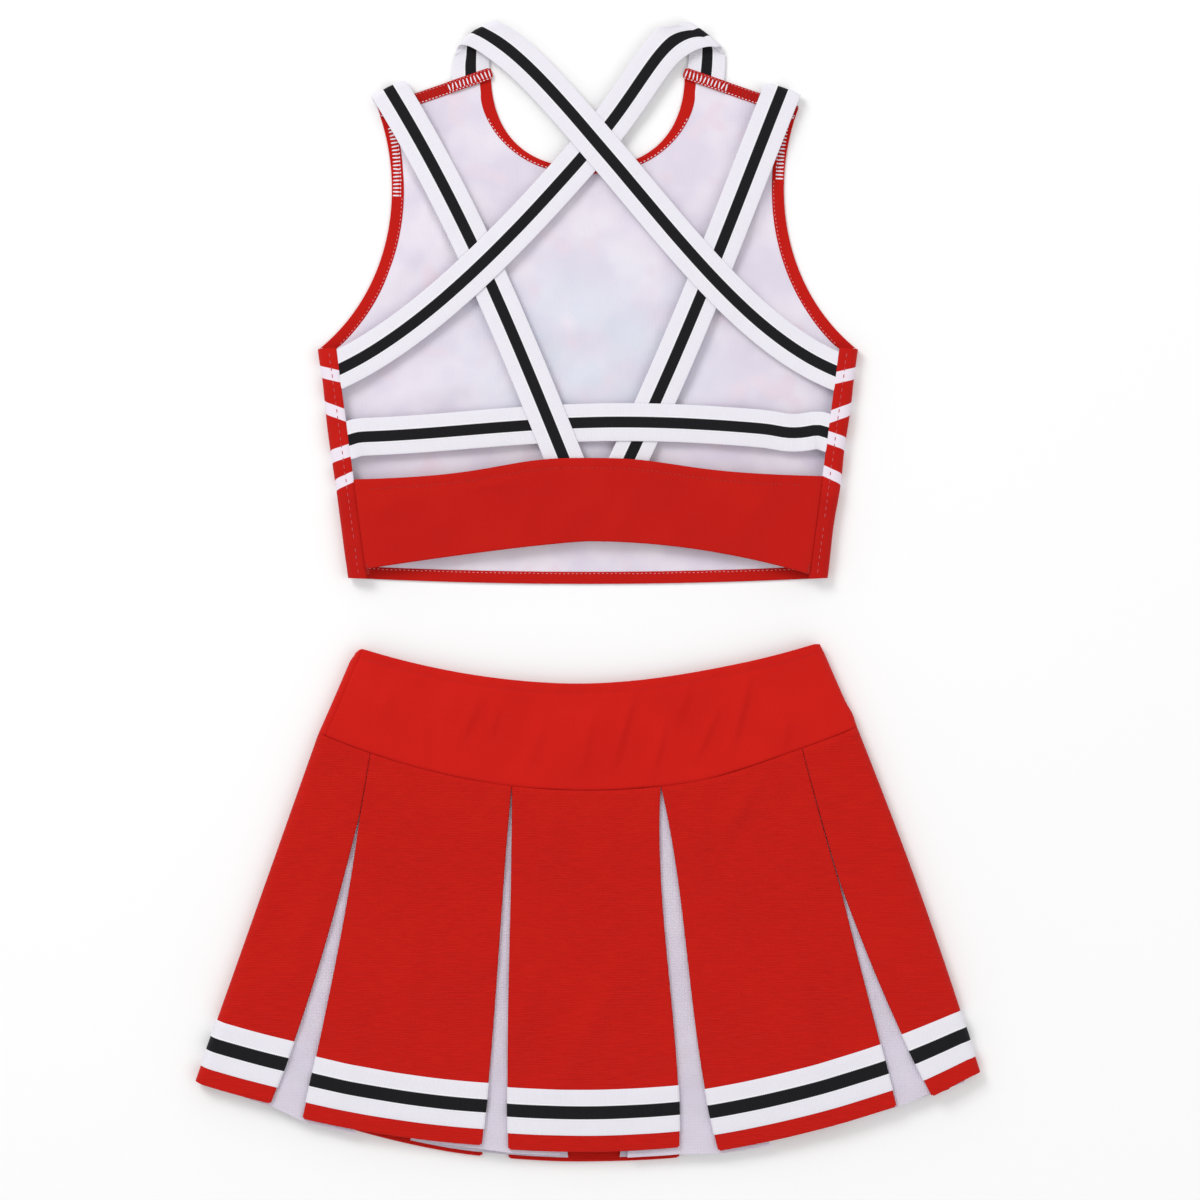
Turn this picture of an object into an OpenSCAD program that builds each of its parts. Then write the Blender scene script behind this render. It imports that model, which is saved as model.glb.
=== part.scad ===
// Two-piece cheer uniform laid flat with its back upwards: a strappy-back crop top above a box-pleated skirt.
// The shoulders point along +Y, the hem along -Y, and the garments lie on Z = 0. Left is -X and right is +X.
// The lower layer of each garment is its front, and the upper layer is its back.

/* [Cloth] */
// Height of each garment as it lies, set by the round side folds
loft = 12; // [12:0.5:14]
// Thickness of one layer of body fabric
cloth_t = 1.2; // [1:0.1:1.2]
// Thickness of the thin white fabric of the pleat inserts
insert_t = 0.8; // [0.6:0.1:0.8]

/* [Crop top] */
// Half width of the neck scoop at the shoulders
neck_half_w = 64; // [60:1:66]
// Depth of the neck scoop
neck_depth = 65; // [58:1:68]
// Half width across the outer ends of the shoulders
shoulder_half_w = 139; // [137:1:141]
// Half width at the underarm
chest_half_w = 178; // [176:1:180]
// Half width at the hem of the top
top_hem_half_w = 157.5; // [156:0.5:159]
// Width of the binding round the neck and the armholes
binding_w = 8; // [6:0.5:9]
// Height of the turned-up hem of the front
hem_fold_h = 6; // [5:0.5:7]
// Width of the overlocked allowance along each shoulder
shoulder_allowance = 7; // [6:0.5:8]

/* [Back band and elastics] */
// Thickness of the back band, two layers with the elastic between them
band_t = 2; // [1.8:0.1:2]
// Width of the elastic in the band and in the waist
elastic_w = 5; // [4:0.5:6]
// Thickness of that elastic
elastic_t = 0.8; // [0.6:0.1:0.8]
// Distance from the skirt's side folds to the ends of its elastic
casing_in = 3; // [2:0.5:6]

/* [Straps] */
// Width of the striped elastic webbing
strap_w = 25; // [22:1:25]
// Thickness of the webbing
strap_t = 1.2; // [1:0.1:1.2]

/* [Skirt] */
// Half width at the waist
waist_half_w = 153; // [151:1:155]
// Half width at the seam between the waistband and the pleats
yoke_half_w = 177.5; // [176:0.5:179]
// Half width at the hem of the skirt
hem_half_w = 258; // [254:1:260]
// Distance from the hem to the striped trim
trim_lift = 10.5; // [9:0.5:12]
// Width of the striped trim
trim_w = 30; // [26:1:32]
// Thickness of the striped trim, which is let into the panel's face
trim_t = 0.5; // [0.4:0.1:0.6]
// How much longer the front layer hangs at its middle
front_drop = 4; // [2:0.5:5]
// How far the pleat inserts reach under the panels at the yoke seam
pleat_top = 12; // [8:1:14]
// How far they reach under the panels at the hem
pleat_hem = 34; // [20:1:36]

/* [Hidden] */

red = [0.74, 0.05, 0.04];
lining = [0.88, 0.85, 0.9];
webbing = [0.9, 0.9, 0.92];
thread_red = [0.6, 0.04, 0.04];
rubber = [0.8, 0.8, 0.78];

gap = 0.1;         // clearance between layers that lie on each other
slit = 0.4;        // half width of a closed pleat at the yoke seam
far = 400;         // beyond both garments
back = true;
front = false;

// Heights of the crop top
shoulder_y = 345.5;
shoulder_end_y = 319.5;
underarm_y = 160;
top_hem_y = 5.5;
top_hem_rise = 4;  // the hem is higher at the side folds than in the middle
seam_in_top = 13;  // the side seam lies this far inside the fold at the underarm
seam_in_hem = 12;

// Heights of the skirt at its middle, and how fast each curve rises to the sides
waist_mid_y = -60.5;
waist_curve = 0.00104;
waist_corner_y = -38;
yoke_mid_y = -130.5;
yoke_curve = 0.0012;
yoke_corner_y = -92;
hem_mid_y = -371;
hem_curve = 0.00074;
hem_corner_y = -320;

// Straps: the height of the sewn legs and of the webbing over the back, and its rise and dip at crossings
leg_z = cloth_t + 0.05 + strap_t / 2;
strap_z = loft - 3.4;
weave = 0.7;

// The four slits, each with its left and its right edge, as X at the yoke seam, halfway down and at the hem
SLITS = [
  [[-143, -170, -209], [-143, -162, -187]],
  [[-50, -58, -71], [-50, -53, -51]],
  [[48, 52, 59], [48, 67, 87]],
  [[141, 171, 203], [141, 177, 226]]
];

function smooth(t) = let (c = min(1, max(0, t))) c * c * (3 - 2 * c);
function unit(v) = v / norm(v);
function mirrored(points) = [for (p = points) [-p[0], p[1]]];
function reversed(list) = [for (i = [len(list) - 1 : -1 : 0]) list[i]];
function cubic(p, t) =
  pow(1 - t, 3) * p[0] + 3 * pow(1 - t, 2) * t * p[1] + 3 * (1 - t) * t * t * p[2] + pow(t, 3) * p[3];
function cubic_slope(p, t) =
  pow(1 - t, 2) * (p[1] - p[0]) + 2 * (1 - t) * t * (p[2] - p[1]) + t * t * (p[3] - p[2]);

// ---- curves of the crop top ----

// The neck scoop is a squarish ellipse, widened by the given margin
function neck_curve(margin) = [
  for (a = [0 : 7.5 : 180])
    let (c = cos(a), s = sin(a), e = 2 / 2.4)
      [(neck_half_w + margin) * sign(c) * pow(abs(c), e), shoulder_y - (neck_depth + margin) * pow(s, e)]
];

ARMHOLE = [
  [shoulder_half_w, shoulder_end_y], [shoulder_half_w - 20, 263],
  [chest_half_w - 49, 199], [chest_half_w, underarm_y]
];
// The right armhole from the shoulder to the underarm, moved inwards by the given margin
function armhole_curve(margin) = [
  for (i = [0 : 24])
    let (t = i / 24, d = unit(cubic_slope(ARMHOLE, t)))
      cubic(ARMHOLE, t) + margin * [d[1], -d[0]]
];

function top_hem(x) = top_hem_y + top_hem_rise * pow(x / top_hem_half_w, 2);
function top_fold_x(y) =
  top_hem_half_w + (chest_half_w - top_hem_half_w) * (y - top_hem_y) / (underarm_y - top_hem_y);
function seam_x(y) =
  top_fold_x(y) - seam_in_hem - (seam_in_top - seam_in_hem) * (y - top_hem_y) / (underarm_y - top_hem_y);
function band_top(x) = 72.5 + 15.5 / (1 + pow(abs(x) / 65, 4));
function band_bottom(x) = 34 - 21.5 * pow(x / 145, 2);

// ---- curves of the skirt ----

function waist_y(x) = waist_mid_y + waist_curve * x * x;
function yoke_y(x) = yoke_mid_y + yoke_curve * x * x;
// The front layer hangs lower than the back from its left to its middle, up to the third slit
function drop(x, layer) = layer == back ? 0 : front_drop * smooth((x + 185) / 110) * smooth((82 - x) / 20);
function hem_y(x, layer) = hem_mid_y + hem_curve * x * x - drop(x, layer);

// A slit's edge from the yoke seam to the hem, moved sideways by a margin that grows from top to bottom
function slit_edge(e, layer, top_margin, hem_margin) =
  let (bend = 2 * e[1] - (e[0] + e[2]) / 2)
    [
      for (i = [0 : 10])
        let (
          f = i / 10,
          x = (1 - f) * (1 - f) * e[0] + 2 * (1 - f) * f * bend + f * f * e[2]
        )
          [
            x + (1 - f) * top_margin + f * hem_margin,
            (1 - f) * yoke_y(e[0] + top_margin) + f * hem_y(e[2] + hem_margin, layer)
          ]
    ];

function yoke_line(x0, x1) = [for (i = [0 : 8]) let (x = x0 + (x1 - x0) * i / 8) [x, yoke_y(x)]];
function hem_line(x0, x1, layer, up = 0) =
  [for (i = [0 : 8]) let (x = x0 + (x1 - x0) * i / 8) [x, hem_y(x, layer) + up]];

// ---- shared shapes ----

// A layer of cloth that turns over round the straight fold down the right side, from the lower face up to the
// given angle, where 0 is the side and 90 the upper face
module fold(line, thick, reach, to = 90) {
  d = line[1] - line[0];
  r = loft / 2;
  turns = [for (i = [0 : 16]) let (q = -90 + (to + 90) * i / 16) [cos(q), sin(q)]];
  upper_leg = to == 90 ? [[-reach, r], [-reach, r - thick]] : [];
  translate([line[0][0], line[0][1], 0])
    rotate([0, 0, atan2(d[0], -d[1])])
      translate([-loft / 2, 20, loft / 2])
        rotate([90, 0, 0])
          linear_extrude(norm(d) + 40)
            polygon(concat(
              [[-reach, thick - r], [-reach, -r]], r * turns, upper_leg, (r - thick) * reversed(turns)
            ));
}

// What lies a given way inside the two side folds, carried on above and below their ends
module between_folds(line, inside, above, below) {
  d = unit(line[1] - line[0]);
  in = inside * [d[1], -d[0]];
  p = line[0] + in - above * d;
  q = line[1] + in + below * d;
  polygon([p, q, [-q[0], q[1]], [-p[0], p[1]]]);
}

// The side folds on the right, from the upper to the lower end
TOP_FOLD = [[chest_half_w, underarm_y], [top_hem_half_w, top_hem_y]];
WAIST_FOLD = [[waist_half_w, waist_corner_y], [yoke_half_w, yoke_corner_y]];
SKIRT_FOLD = [[yoke_half_w, yoke_corner_y], [hem_half_w, hem_corner_y]];

// ---- crop top ----

module top_outline() {
  side = concat(
    [[neck_half_w, shoulder_y]], armhole_curve(0),
    [for (i = [0 : 10]) let (x = top_hem_half_w * (1 - i / 10)) [x, top_hem(x)]]
  );
  polygon(concat(side, reversed(mirrored(side)), reversed(neck_curve(0))));
}

module neck_ring() {
  difference() {
    polygon(neck_curve(binding_w));
    polygon(neck_curve(0));
  }
}

module armhole_ring() {
  intersection() {
    polygon(concat(armhole_curve(0), reversed(armhole_curve(binding_w))));
    top_outline();
    between_folds(TOP_FOLD, loft / 2, 200, 20);
  }
}

// The cloth of the front, without its bindings
module front_flat() {
  difference() {
    intersection() {
      top_outline();
      between_folds(TOP_FOLD, loft / 2, 200, 20);
    }
    neck_ring();
    armhole_ring();
    mirror([1, 0]) armhole_ring();
  }
}

// The cloth that turns over the side to the back, up to the side seam and clear of the armhole binding
module side_wrap() {
  seam_foot = top_hem(top_hem_half_w - seam_in_hem);
  difference() {
    intersection() {
      fold(TOP_FOLD, cloth_t, 14);
      linear_extrude(loft)
        polygon([
          [seam_x(seam_foot), seam_foot], [far, top_hem(top_hem_half_w)],
          [far, underarm_y], [seam_x(underarm_y), underarm_y]
        ]);
    }
    translate([0, 0, -1]) linear_extrude(loft / 2) armhole_ring();
  }
}

// The printed front, which turns over both sides to the back and stops at the side seams
module front_panel() {
  color(lining) {
    linear_extrude(cloth_t) front_flat();
    side_wrap();
    mirror([1, 0, 0]) side_wrap();
  }
}

module neck_binding() {
  color(red) linear_extrude(cloth_t) neck_ring();
}

module armhole_binding() {
  color(red) linear_extrude(cloth_t) armhole_ring();
}

// The overlocked shoulder allowance, which covers the sewn ends of the two straps
module shoulder_facing(side) {
  cross = side < 0 ? CROSS_LEFT : CROSS_RIGHT;
  outer = side < 0 ? OUTER_LEFT : OUTER_RIGHT;
  slope = unit([shoulder_half_w - neck_half_w, shoulder_end_y - shoulder_y]);
  inward = shoulder_allowance * [slope[1], -slope[0]];
  inner = [neck_half_w, shoulder_y] + binding_w * slope;
  end = [shoulder_half_w, shoulder_end_y] - binding_w * slope;
  outline = [inner, end, end + inward, inner + inward];
  color(thread_red)
    difference() {
      translate([0, 0, cloth_t + gap / 2])
        linear_extrude(strap_t + 0.8)
          polygon(side < 0 ? mirrored(outline) : outline);
      leg_slot(cross);
      leg_slot(outer);
    }
}

module front_hem_facing() {
  end = top_hem_half_w - loft / 2 - 2;
  line = [for (i = [-10 : 10]) let (x = end * i / 10) [x, top_hem(x) + 0.2]];
  color(red)
    translate([0, 0, cloth_t + gap / 2])
      linear_extrude(0.6)
        polygon(concat(line, reversed([for (p = line) p + [0, hem_fold_h]])));
}

// Outline of the back band, and of strips a given way below its top edge
module band_outline(from, to) {
  steps = 24;
  whole = to == undef;
  top_half = seam_x(whole ? 70 : 66) - gap;
  low_half = seam_x(whole ? 12 : 66) - gap;
  top_line = [for (i = [-steps : steps]) let (x = top_half * i / steps) [x, band_top(x) - from]];
  low_line = [
    for (i = [-steps : steps])
      let (x = low_half * i / steps) [x, whole ? band_bottom(x) : band_top(x) - to]
  ];
  polygon(concat(top_line, reversed(low_line)));
}

module back_band() {
  color(red)
    difference() {
      translate([0, 0, loft - band_t])
        linear_extrude(band_t) band_outline(0, undef);
      translate([0, 0, loft - (band_t + elastic_t) / 2 - 0.05])
        linear_extrude(elastic_t + 0.1) band_outline(0.95, 1.05 + elastic_w);
    }
}

module band_elastic() {
  color(rubber)
    translate([0, 0, loft - (band_t + elastic_t) / 2])
      linear_extrude(elastic_t) band_outline(1, 1 + elastic_w);
}

// ---- straps ----

// A strap is [curve over the back, angle of the line it folds over, length of its sewn leg, crossings,
// end height, length over which it reaches that height].
// A crossing is [X, Y, rise], where the webbing rises over another strap or dips under it.
CROSS_LEFT = [
  [[-68, 367.5], [21, 301], [80, 178], [167, 144]], 20, 35,
  [[5, 297, weave], [80, 209, weave]], loft - cloth_t - gap - strap_t / 2, 25
];
CROSS_RIGHT = [
  [[66, 367.5], [15, 312], [-76, 187], [-167, 145]], -17, 36,
  [[5, 297, -weave], [-70, 216, weave]], loft - cloth_t - gap - strap_t / 2, 25
];
OUTER_LEFT = [
  [[-129.5, 328.5], [-80, 248], [-48, 168], [-12, 79]], 24, 12,
  [[-70, 216, -weave], [-25, 111, weave]], loft - band_t - gap - strap_t / 2, 14
];
OUTER_RIGHT = [
  [[127.5, 327.5], [96, 250], [71, 180], [23, 79]], -22, 12,
  [[80, 209, -weave], [38, 112, -weave]], loft - band_t - gap - strap_t / 2, 14
];
HORIZONTAL = [
  [[-161, 102], [-60, 104], [-10, 123], [161, 103]], undef, 0,
  [[-25, 111, -weave], [38, 112, weave]], loft - cloth_t - gap - strap_t / 2, 25
];

function lift_at(p, crossings, i = 0) =
  i == len(crossings) ? 0
  : crossings[i][2] * smooth((38 - norm(p - [crossings[i][0], crossings[i][1]])) / 14)
    + lift_at(p, crossings, i + 1);

// Height of the middle of the webbing at point p: woven over the back, then rising to its end height
function back_z(strap, p, to_end) =
  let (z = strap_z + lift_at(p, strap[3]), s = smooth(1 - to_end / strap[5]))
    z * (1 - s) + strap[4] * s;

function fold_line(strap) = [cos(strap[1]), sin(strap[1])];
function back_start(strap) = unit(cubic_slope(strap[0], 0));
// Direction of the sewn leg: the direction over the back, mirrored in the line that the strap folds over
function leg_direction(strap) =
  let (f = fold_line(strap), d = back_start(strap)) 2 * (f * d) * f - d;
// How steeply the fold line crosses the webbing: its share along the strap over its share across it
function skew(strap) =
  let (f = fold_line(strap), d = leg_direction(strap)) (f * d) / norm(d - (f * d) * f);

// A station is [centre, half-width vector]. Sections are square to the strap, and lie along the fold line
// near the turn.
function section(d, side, lean) = strap_w / 2 * (side * [d[1], -d[0], 0] + lean * [d[0], d[1], 0]);

function over_back(strap) = [
  for (i = [0 : 36])
    let (
      t = i / 36,
      p = cubic(strap[0], t),
      d = unit(cubic_slope(strap[0], t)),
      folded = strap[1] != undef,
      start = norm(p - strap[0][0]),
      end = norm(p - strap[0][3])
    )
      [
        [p[0], p[1], back_z(strap, p, folded ? end : min(start, end))],
        section(d, -1, folded ? skew(strap) * (1 - smooth(start / 30)) : 0)
      ]
];

// The half turn over the fold line, from the leg below to the webbing above
function turn_point(strap, r, a) =
  let (f = fold_line(strap), d = leg_direction(strap), n = unit(d - (f * d) * f))
    strap[0][0] - f * ((180 - a) * PI / 180 * r * skew(strap)) + n * (r * sin(a));
function turn_over(strap, r) =
  let (f = fold_line(strap), lean = sqrt(1 + skew(strap) * skew(strap)))
    [
      for (i = [0 : 11])
        let (a = i * 15, p = turn_point(strap, r, a))
          [[p[0], p[1], leg_z + r * (1 - cos(a))], strap_w / 2 * lean * [f[0], f[1], 0]]
    ];

// The leg that is sewn into the shoulder, from its cut end to the start of the turn
function sewn_leg(strap, r) =
  let (d = leg_direction(strap), start = turn_point(strap, r, 0))
    [
      for (i = [0 : 4])
        let (p = start - d * strap[2] * (1 - i / 5))
          [[p[0], p[1], leg_z], section(d, 1, skew(strap) * smooth(i / 5))]
    ];

function strap_stations(strap) =
  strap[1] == undef ? over_back(strap)
  : let (r = (back_z(strap, strap[0][0], far) - leg_z) / 2)
    concat(sewn_leg(strap, r), turn_over(strap, r), over_back(strap));

// Flat webbing swept along its stations
module webbing_strap(strap) {
  s = strap_stations(strap);
  n = len(s);
  corners = [
    for (i = [0 : n - 1])
      let (
        c = s[i][0],
        w = s[i][1],
        t = s[min(i + 1, n - 1)][0] - s[max(i - 1, 0)][0],
        h = unit(cross(t, w)) * strap_t / 2
      )
        each [c + w + h, c - w + h, c - w - h, c + w - h]
  ];
  faces = concat(
    [[3, 2, 1, 0]],
    [
      for (i = [0 : n - 2])
        for (k = [0 : 3])
          let (a = 4 * i + k, b = 4 * i + (k + 1) % 4)
            each [[a, b, b + 4], [a, b + 4, a + 4]]
    ],
    [[4 * n - 4, 4 * n - 3, 4 * n - 2, 4 * n - 1]]
  );
  color(webbing) polyhedron(corners, faces);
}

// The room that a strap's sewn leg takes under the shoulder allowance
module leg_slot(strap) {
  d = leg_direction(strap);
  start = turn_point(strap, (strap_z - leg_z) / 2, 0) - d * strap[2];
  translate([start[0], start[1], 0])
    rotate([0, 0, atan2(d[1], d[0])])
      translate([-4, -strap_w / 2 - 0.5, 0])
        cube([strap[2] + 12, strap_w + 1, leg_z + strap_t / 2 + gap]);
}

// ---- skirt ----

module waistband_outline(from, to) {
  top_line = [for (i = [-12 : 12]) let (x = (waist_half_w + 6) * i / 12) [x, waist_y(x) - from]];
  low_line = [
    for (i = [-12 : 12])
      let (x = (to == undef ? yoke_half_w + 8 : waist_half_w + 12) * i / 12)
        [x, to == undef ? yoke_y(x) + gap : waist_y(x) - to]
  ];
  polygon(concat(top_line, reversed(low_line)));
}

// Moves a shape drawn in the front layer to the given layer; the back is the front's mirror image
module in_layer(layer) {
  translate([0, 0, layer == back ? loft : 0]) mirror([0, 0, layer == back ? 1 : 0]) children();
}

// A flat strip of the front waistband, a given way below the waist and inside the side folds
module waist_strip(outer_in, thick, from, to, inside) {
  translate([0, 0, outer_in])
    linear_extrude(thick)
      intersection() {
        between_folds(WAIST_FOLD, loft / 2 + inside, 20, 70);
        waistband_outline(from, to);
      }
}

module waist_side() {
  intersection() {
    fold(WAIST_FOLD, cloth_t, 10, -0.5);
    linear_extrude(loft) waistband_outline(0, undef);
  }
}

// One half of the waistband, with its top edge turned in as a casing; the side seams lie on the folds
module waistband(layer) {
  color(red)
    in_layer(layer)
      difference() {
        union() {
          waist_strip(0, cloth_t, 0, undef, 4);
          waist_side();
          mirror([1, 0, 0]) waist_side();
          waist_strip(0, 2 * cloth_t, 0, elastic_w + 2, casing_in);
        }
        waist_strip(cloth_t - elastic_t / 2 - 0.05, elastic_t + 0.1, 0.95, 1.05 + elastic_w, casing_in - 1);
      }
}

// The elastic is sewn in as two lengths, one in each half of the waistband
module waist_elastic() {
  color(rubber)
    for (layer = [front, back])
      in_layer(layer) waist_strip(cloth_t - elastic_t / 2, elastic_t, 1, 1 + elastic_w, casing_in);
}

// Outline of the panel between slit k - 1 and slit k, or of the strip of it where the trim lies
module panel_outline(k, layer) {
  left = slit_edge(SLITS[k - 1][1], layer, slit, 0);
  right = slit_edge(SLITS[k][0], layer, -slit, 0);
  polygon(concat(
    yoke_line(left[0][0], right[0][0]), right,
    hem_line(right[10][0], left[10][0], layer), reversed(left)
  ));
}

module side_outline() {
  edge = slit_edge(SLITS[3][1], back, slit, 0);
  polygon(concat(
    reversed(yoke_line(edge[0][0], yoke_half_w + 8)), edge,
    hem_line(edge[10][0], hem_half_w + 12, back)
  ));
}

module left_side_outline() {
  edge = slit_edge(SLITS[0][0], back, -slit, 0);
  polygon(concat(
    reversed(yoke_line(edge[0][0], -yoke_half_w - 8)), edge,
    hem_line(edge[10][0], -hem_half_w - 12, back)
  ));
}

module trim_zone(layer) {
  polygon(concat(
    hem_line(-hem_half_w - 20, hem_half_w + 20, layer, trim_lift),
    hem_line(hem_half_w + 20, -hem_half_w - 20, layer, trim_lift + trim_w)
  ));
}

module flat_trim(k, layer) {
  color(webbing)
    translate([0, 0, layer == back ? loft - trim_t : 0])
      linear_extrude(trim_t)
        intersection() {
          panel_outline(k, layer);
          trim_zone(layer);
        }
}

module flat_panel(k, layer) {
  color(red)
    difference() {
      translate([0, 0, layer == back ? loft - cloth_t : 0])
        linear_extrude(cloth_t) panel_outline(k, layer);
      translate([0, 0, layer == back ? loft - trim_t : -1])
        linear_extrude(trim_t + 1) trim_zone(layer);
    }
}

// Cloth of a side panel, which wraps round the fold to both layers
module side_cloth(side, thick) {
  intersection() {
    mirror([side < 0 ? 1 : 0, 0, 0]) fold(SKIRT_FOLD, thick, 90);
    linear_extrude(loft)
      if (side < 0) left_side_outline();
      else side_outline();
  }
}

module side_trim(side) {
  color(webbing)
    intersection() {
      side_cloth(side, trim_t);
      linear_extrude(loft) trim_zone(back);
    }
}

module side_panel(side) {
  color(red)
    difference() {
      side_cloth(side, cloth_t);
      side_trim(side);
    }
}

// White box-pleat insert behind slit k, reaching under the panels on both sides, but not into the side folds
module pleat(k, layer) {
  side = hem_half_w - loft / 2 - 4;
  left = slit_edge(SLITS[k][0], layer, -pleat_top, -min(pleat_hem, side + SLITS[k][0][2]));
  right = slit_edge(SLITS[k][1], layer, pleat_top, min(pleat_hem, side - SLITS[k][1][2]));
  color(lining)
    translate([0, 0, layer == back ? loft - cloth_t - gap - insert_t : cloth_t + gap])
      linear_extrude(insert_t)
        polygon(concat(
          yoke_line(left[0][0], right[0][0]), right,
          hem_line(right[10][0], left[10][0], layer), reversed(left)
        ));
}

front_panel();
neck_binding();
mirror([1, 0, 0]) armhole_binding();  // left_armhole_binding
armhole_binding();  // right_armhole_binding
shoulder_facing(-1);  // left_shoulder_facing
shoulder_facing(1);  // right_shoulder_facing
front_hem_facing();
back_band();
band_elastic();
webbing_strap(OUTER_LEFT);  // left_outer_strap
webbing_strap(OUTER_RIGHT);  // right_outer_strap
webbing_strap(CROSS_LEFT);  // left_cross_strap
webbing_strap(CROSS_RIGHT);  // right_cross_strap
webbing_strap(HORIZONTAL);  // horizontal_strap
waistband(back);  // waistband_back
waistband(front);  // waistband_front
waist_elastic();
side_panel(-1);  // left_side_panel
flat_panel(1, back);  // back_left_panel
flat_panel(2, back);  // back_centre_panel
flat_panel(3, back);  // back_right_panel
side_panel(1);  // right_side_panel
flat_panel(1, front);  // front_left_panel
flat_panel(2, front);  // front_centre_panel
flat_panel(3, front);  // front_right_panel
pleat(0, back);  // back_outer_left_pleat
pleat(1, back);  // back_inner_left_pleat
pleat(2, back);  // back_inner_right_pleat
pleat(3, back);  // back_outer_right_pleat
pleat(0, front);  // front_outer_left_pleat
pleat(1, front);  // front_inner_left_pleat
pleat(2, front);  // front_inner_right_pleat
pleat(3, front);  // front_outer_right_pleat
side_trim(-1);  // left_side_trim
flat_trim(1, back);  // back_left_trim
flat_trim(2, back);  // back_centre_trim
flat_trim(3, back);  // back_right_trim
side_trim(1);  // right_side_trim
flat_trim(1, front);  // front_left_trim
flat_trim(2, front);  // front_centre_trim
flat_trim(3, front);  // front_right_trim
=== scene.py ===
"""A two-piece cheer uniform laid flat, back upwards: a strappy-back crop top above a box-pleated skirt.

Every cloth piece is built from functions in millimetres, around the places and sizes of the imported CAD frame.
"""

import math

import bmesh
import bpy
import numpy as np
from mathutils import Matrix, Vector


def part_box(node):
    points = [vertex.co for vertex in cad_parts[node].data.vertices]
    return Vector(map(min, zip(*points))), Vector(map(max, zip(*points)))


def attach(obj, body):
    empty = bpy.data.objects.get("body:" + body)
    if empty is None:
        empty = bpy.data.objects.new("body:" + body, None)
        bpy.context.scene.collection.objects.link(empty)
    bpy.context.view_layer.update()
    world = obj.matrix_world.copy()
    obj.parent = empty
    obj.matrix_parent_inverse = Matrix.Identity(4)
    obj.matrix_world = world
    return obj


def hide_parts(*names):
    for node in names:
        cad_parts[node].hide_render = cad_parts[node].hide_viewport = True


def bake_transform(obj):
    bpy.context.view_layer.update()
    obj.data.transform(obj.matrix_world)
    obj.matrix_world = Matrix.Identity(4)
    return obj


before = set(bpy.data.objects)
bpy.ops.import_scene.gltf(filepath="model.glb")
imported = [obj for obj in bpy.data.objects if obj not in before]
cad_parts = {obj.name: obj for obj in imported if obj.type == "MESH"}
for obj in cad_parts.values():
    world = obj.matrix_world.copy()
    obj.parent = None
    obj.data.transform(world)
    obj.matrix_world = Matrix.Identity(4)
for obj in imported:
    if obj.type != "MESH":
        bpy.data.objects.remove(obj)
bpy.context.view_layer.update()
MM = 0.001
BACK, FRONT = 1, -1
PI = math.pi


def node_box(name):
    """Lowest and highest corner of a CAD node, in millimetres."""
    return [np.array(corner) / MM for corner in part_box(name)]


# ---- sizes of the crop top ----

TOP_LOW, TOP_HIGH = node_box("front_panel")
NECK_LOW, NECK_HIGH = node_box("neck_binding")
LOFT = TOP_HIGH[2]
CHEST = TOP_HIGH[0]             # half width at the underarm
TOP_HEM = TOP_LOW[1]
TOP_HEM_HALF = CHEST - 20.5     # half width at the hem
TOP_HEM_RISE = 4
SHOULDER = NECK_HIGH[1]
UNDERARM = SHOULDER - 185.5
SHOULDER_END = (139, SHOULDER - 26)
BINDING = 8
NECK_HALF = NECK_HIGH[0] - BINDING
NECK_DEPTH = SHOULDER - NECK_LOW[1] - BINDING
NECK_POWER = 2 / 2.4            # the scoop is a squarish ellipse
SEAM_IN = 12.5                  # from the side fold to the side seam on the back
STRAP_W, STRAP_T = 25, 1.1
WEAVE = 0.7                     # how far a strap rises or dips where it crosses another
STRAP_Z = LOFT - 4.2            # height of the webbing over the back
LEG_Z = 1.85                    # height of a strap's end under the shoulder facing

# ---- sizes of the skirt ----

WAIST_LOW, WAIST_HIGH = node_box("waistband_back")
SIDE_LOW, SIDE_HIGH = node_box("right_side_panel")
WAIST_HALF = 153
YOKE_HALF = 177.5
HEM_HALF = SIDE_HIGH[0]
WAIST_MID, WAIST_CURVE = -60.5, 0.00104
YOKE_MID, YOKE_CURVE = -130.5, 0.0012
HEM_MID, HEM_CURVE = -371, 0.00074
FRONT_DROP = 4
TRIM_LIFT, TRIM_W = 10.5, 30
FOLD_R = 6                      # radius of the side folds
PANEL_COLS, SIDE_COLS = 46, 24   # columns between the edges of a flat panel and of each layer of a side panel
TRIM_RETURN = 7                 # how far the trim turns under with the pleat edge
# Each slit's left and right edge, as X at the yoke seam, halfway down and at the hem
SLITS = [
    [(-143, -170, -209), (-143, -162, -187)],
    [(-50, -58, -71), (-50, -53, -51)],
    [(48, 52, 59), (48, 67, 87)],
    [(141, 171, 203), (141, 177, 226)],
]

CLOTH = 0.6                     # thickness of the body fabric
# Heights of the panels' two layers and of the inserts in each
BACK_Z, FRONT_Z = LOFT + 0.3, 1.0
PLEAT_Z = {BACK: LOFT - 2.9, FRONT: 3.6}


# ---- curves ----

def smooth(t):
    t = np.clip(t, 0, 1)
    return t * t * (3 - 2 * t)


def cubic(points, t):
    p = np.array(points, float)
    t = np.asarray(t, float)[..., None]
    return (1 - t) ** 3 * p[0] + 3 * (1 - t) ** 2 * t * p[1] + 3 * (1 - t) * t * t * p[2] + t**3 * p[3]


def spaced(line, count):
    """The same line with evenly spaced points."""
    line = np.asarray(line, float)
    along = np.concatenate([[0], np.cumsum(np.linalg.norm(np.diff(line, axis=0), axis=1))])
    at = np.linspace(0, along[-1], count)
    return np.stack([np.interp(at, along, line[:, k]) for k in range(line.shape[1])], axis=1)


def length_of(line):
    return float(np.linalg.norm(np.diff(line, axis=0), axis=1).sum())


def unit(vectors):
    return vectors / np.linalg.norm(vectors, axis=1)[:, None]


def directions(line):
    return unit(np.gradient(np.asarray(line, float), axis=0))


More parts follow.
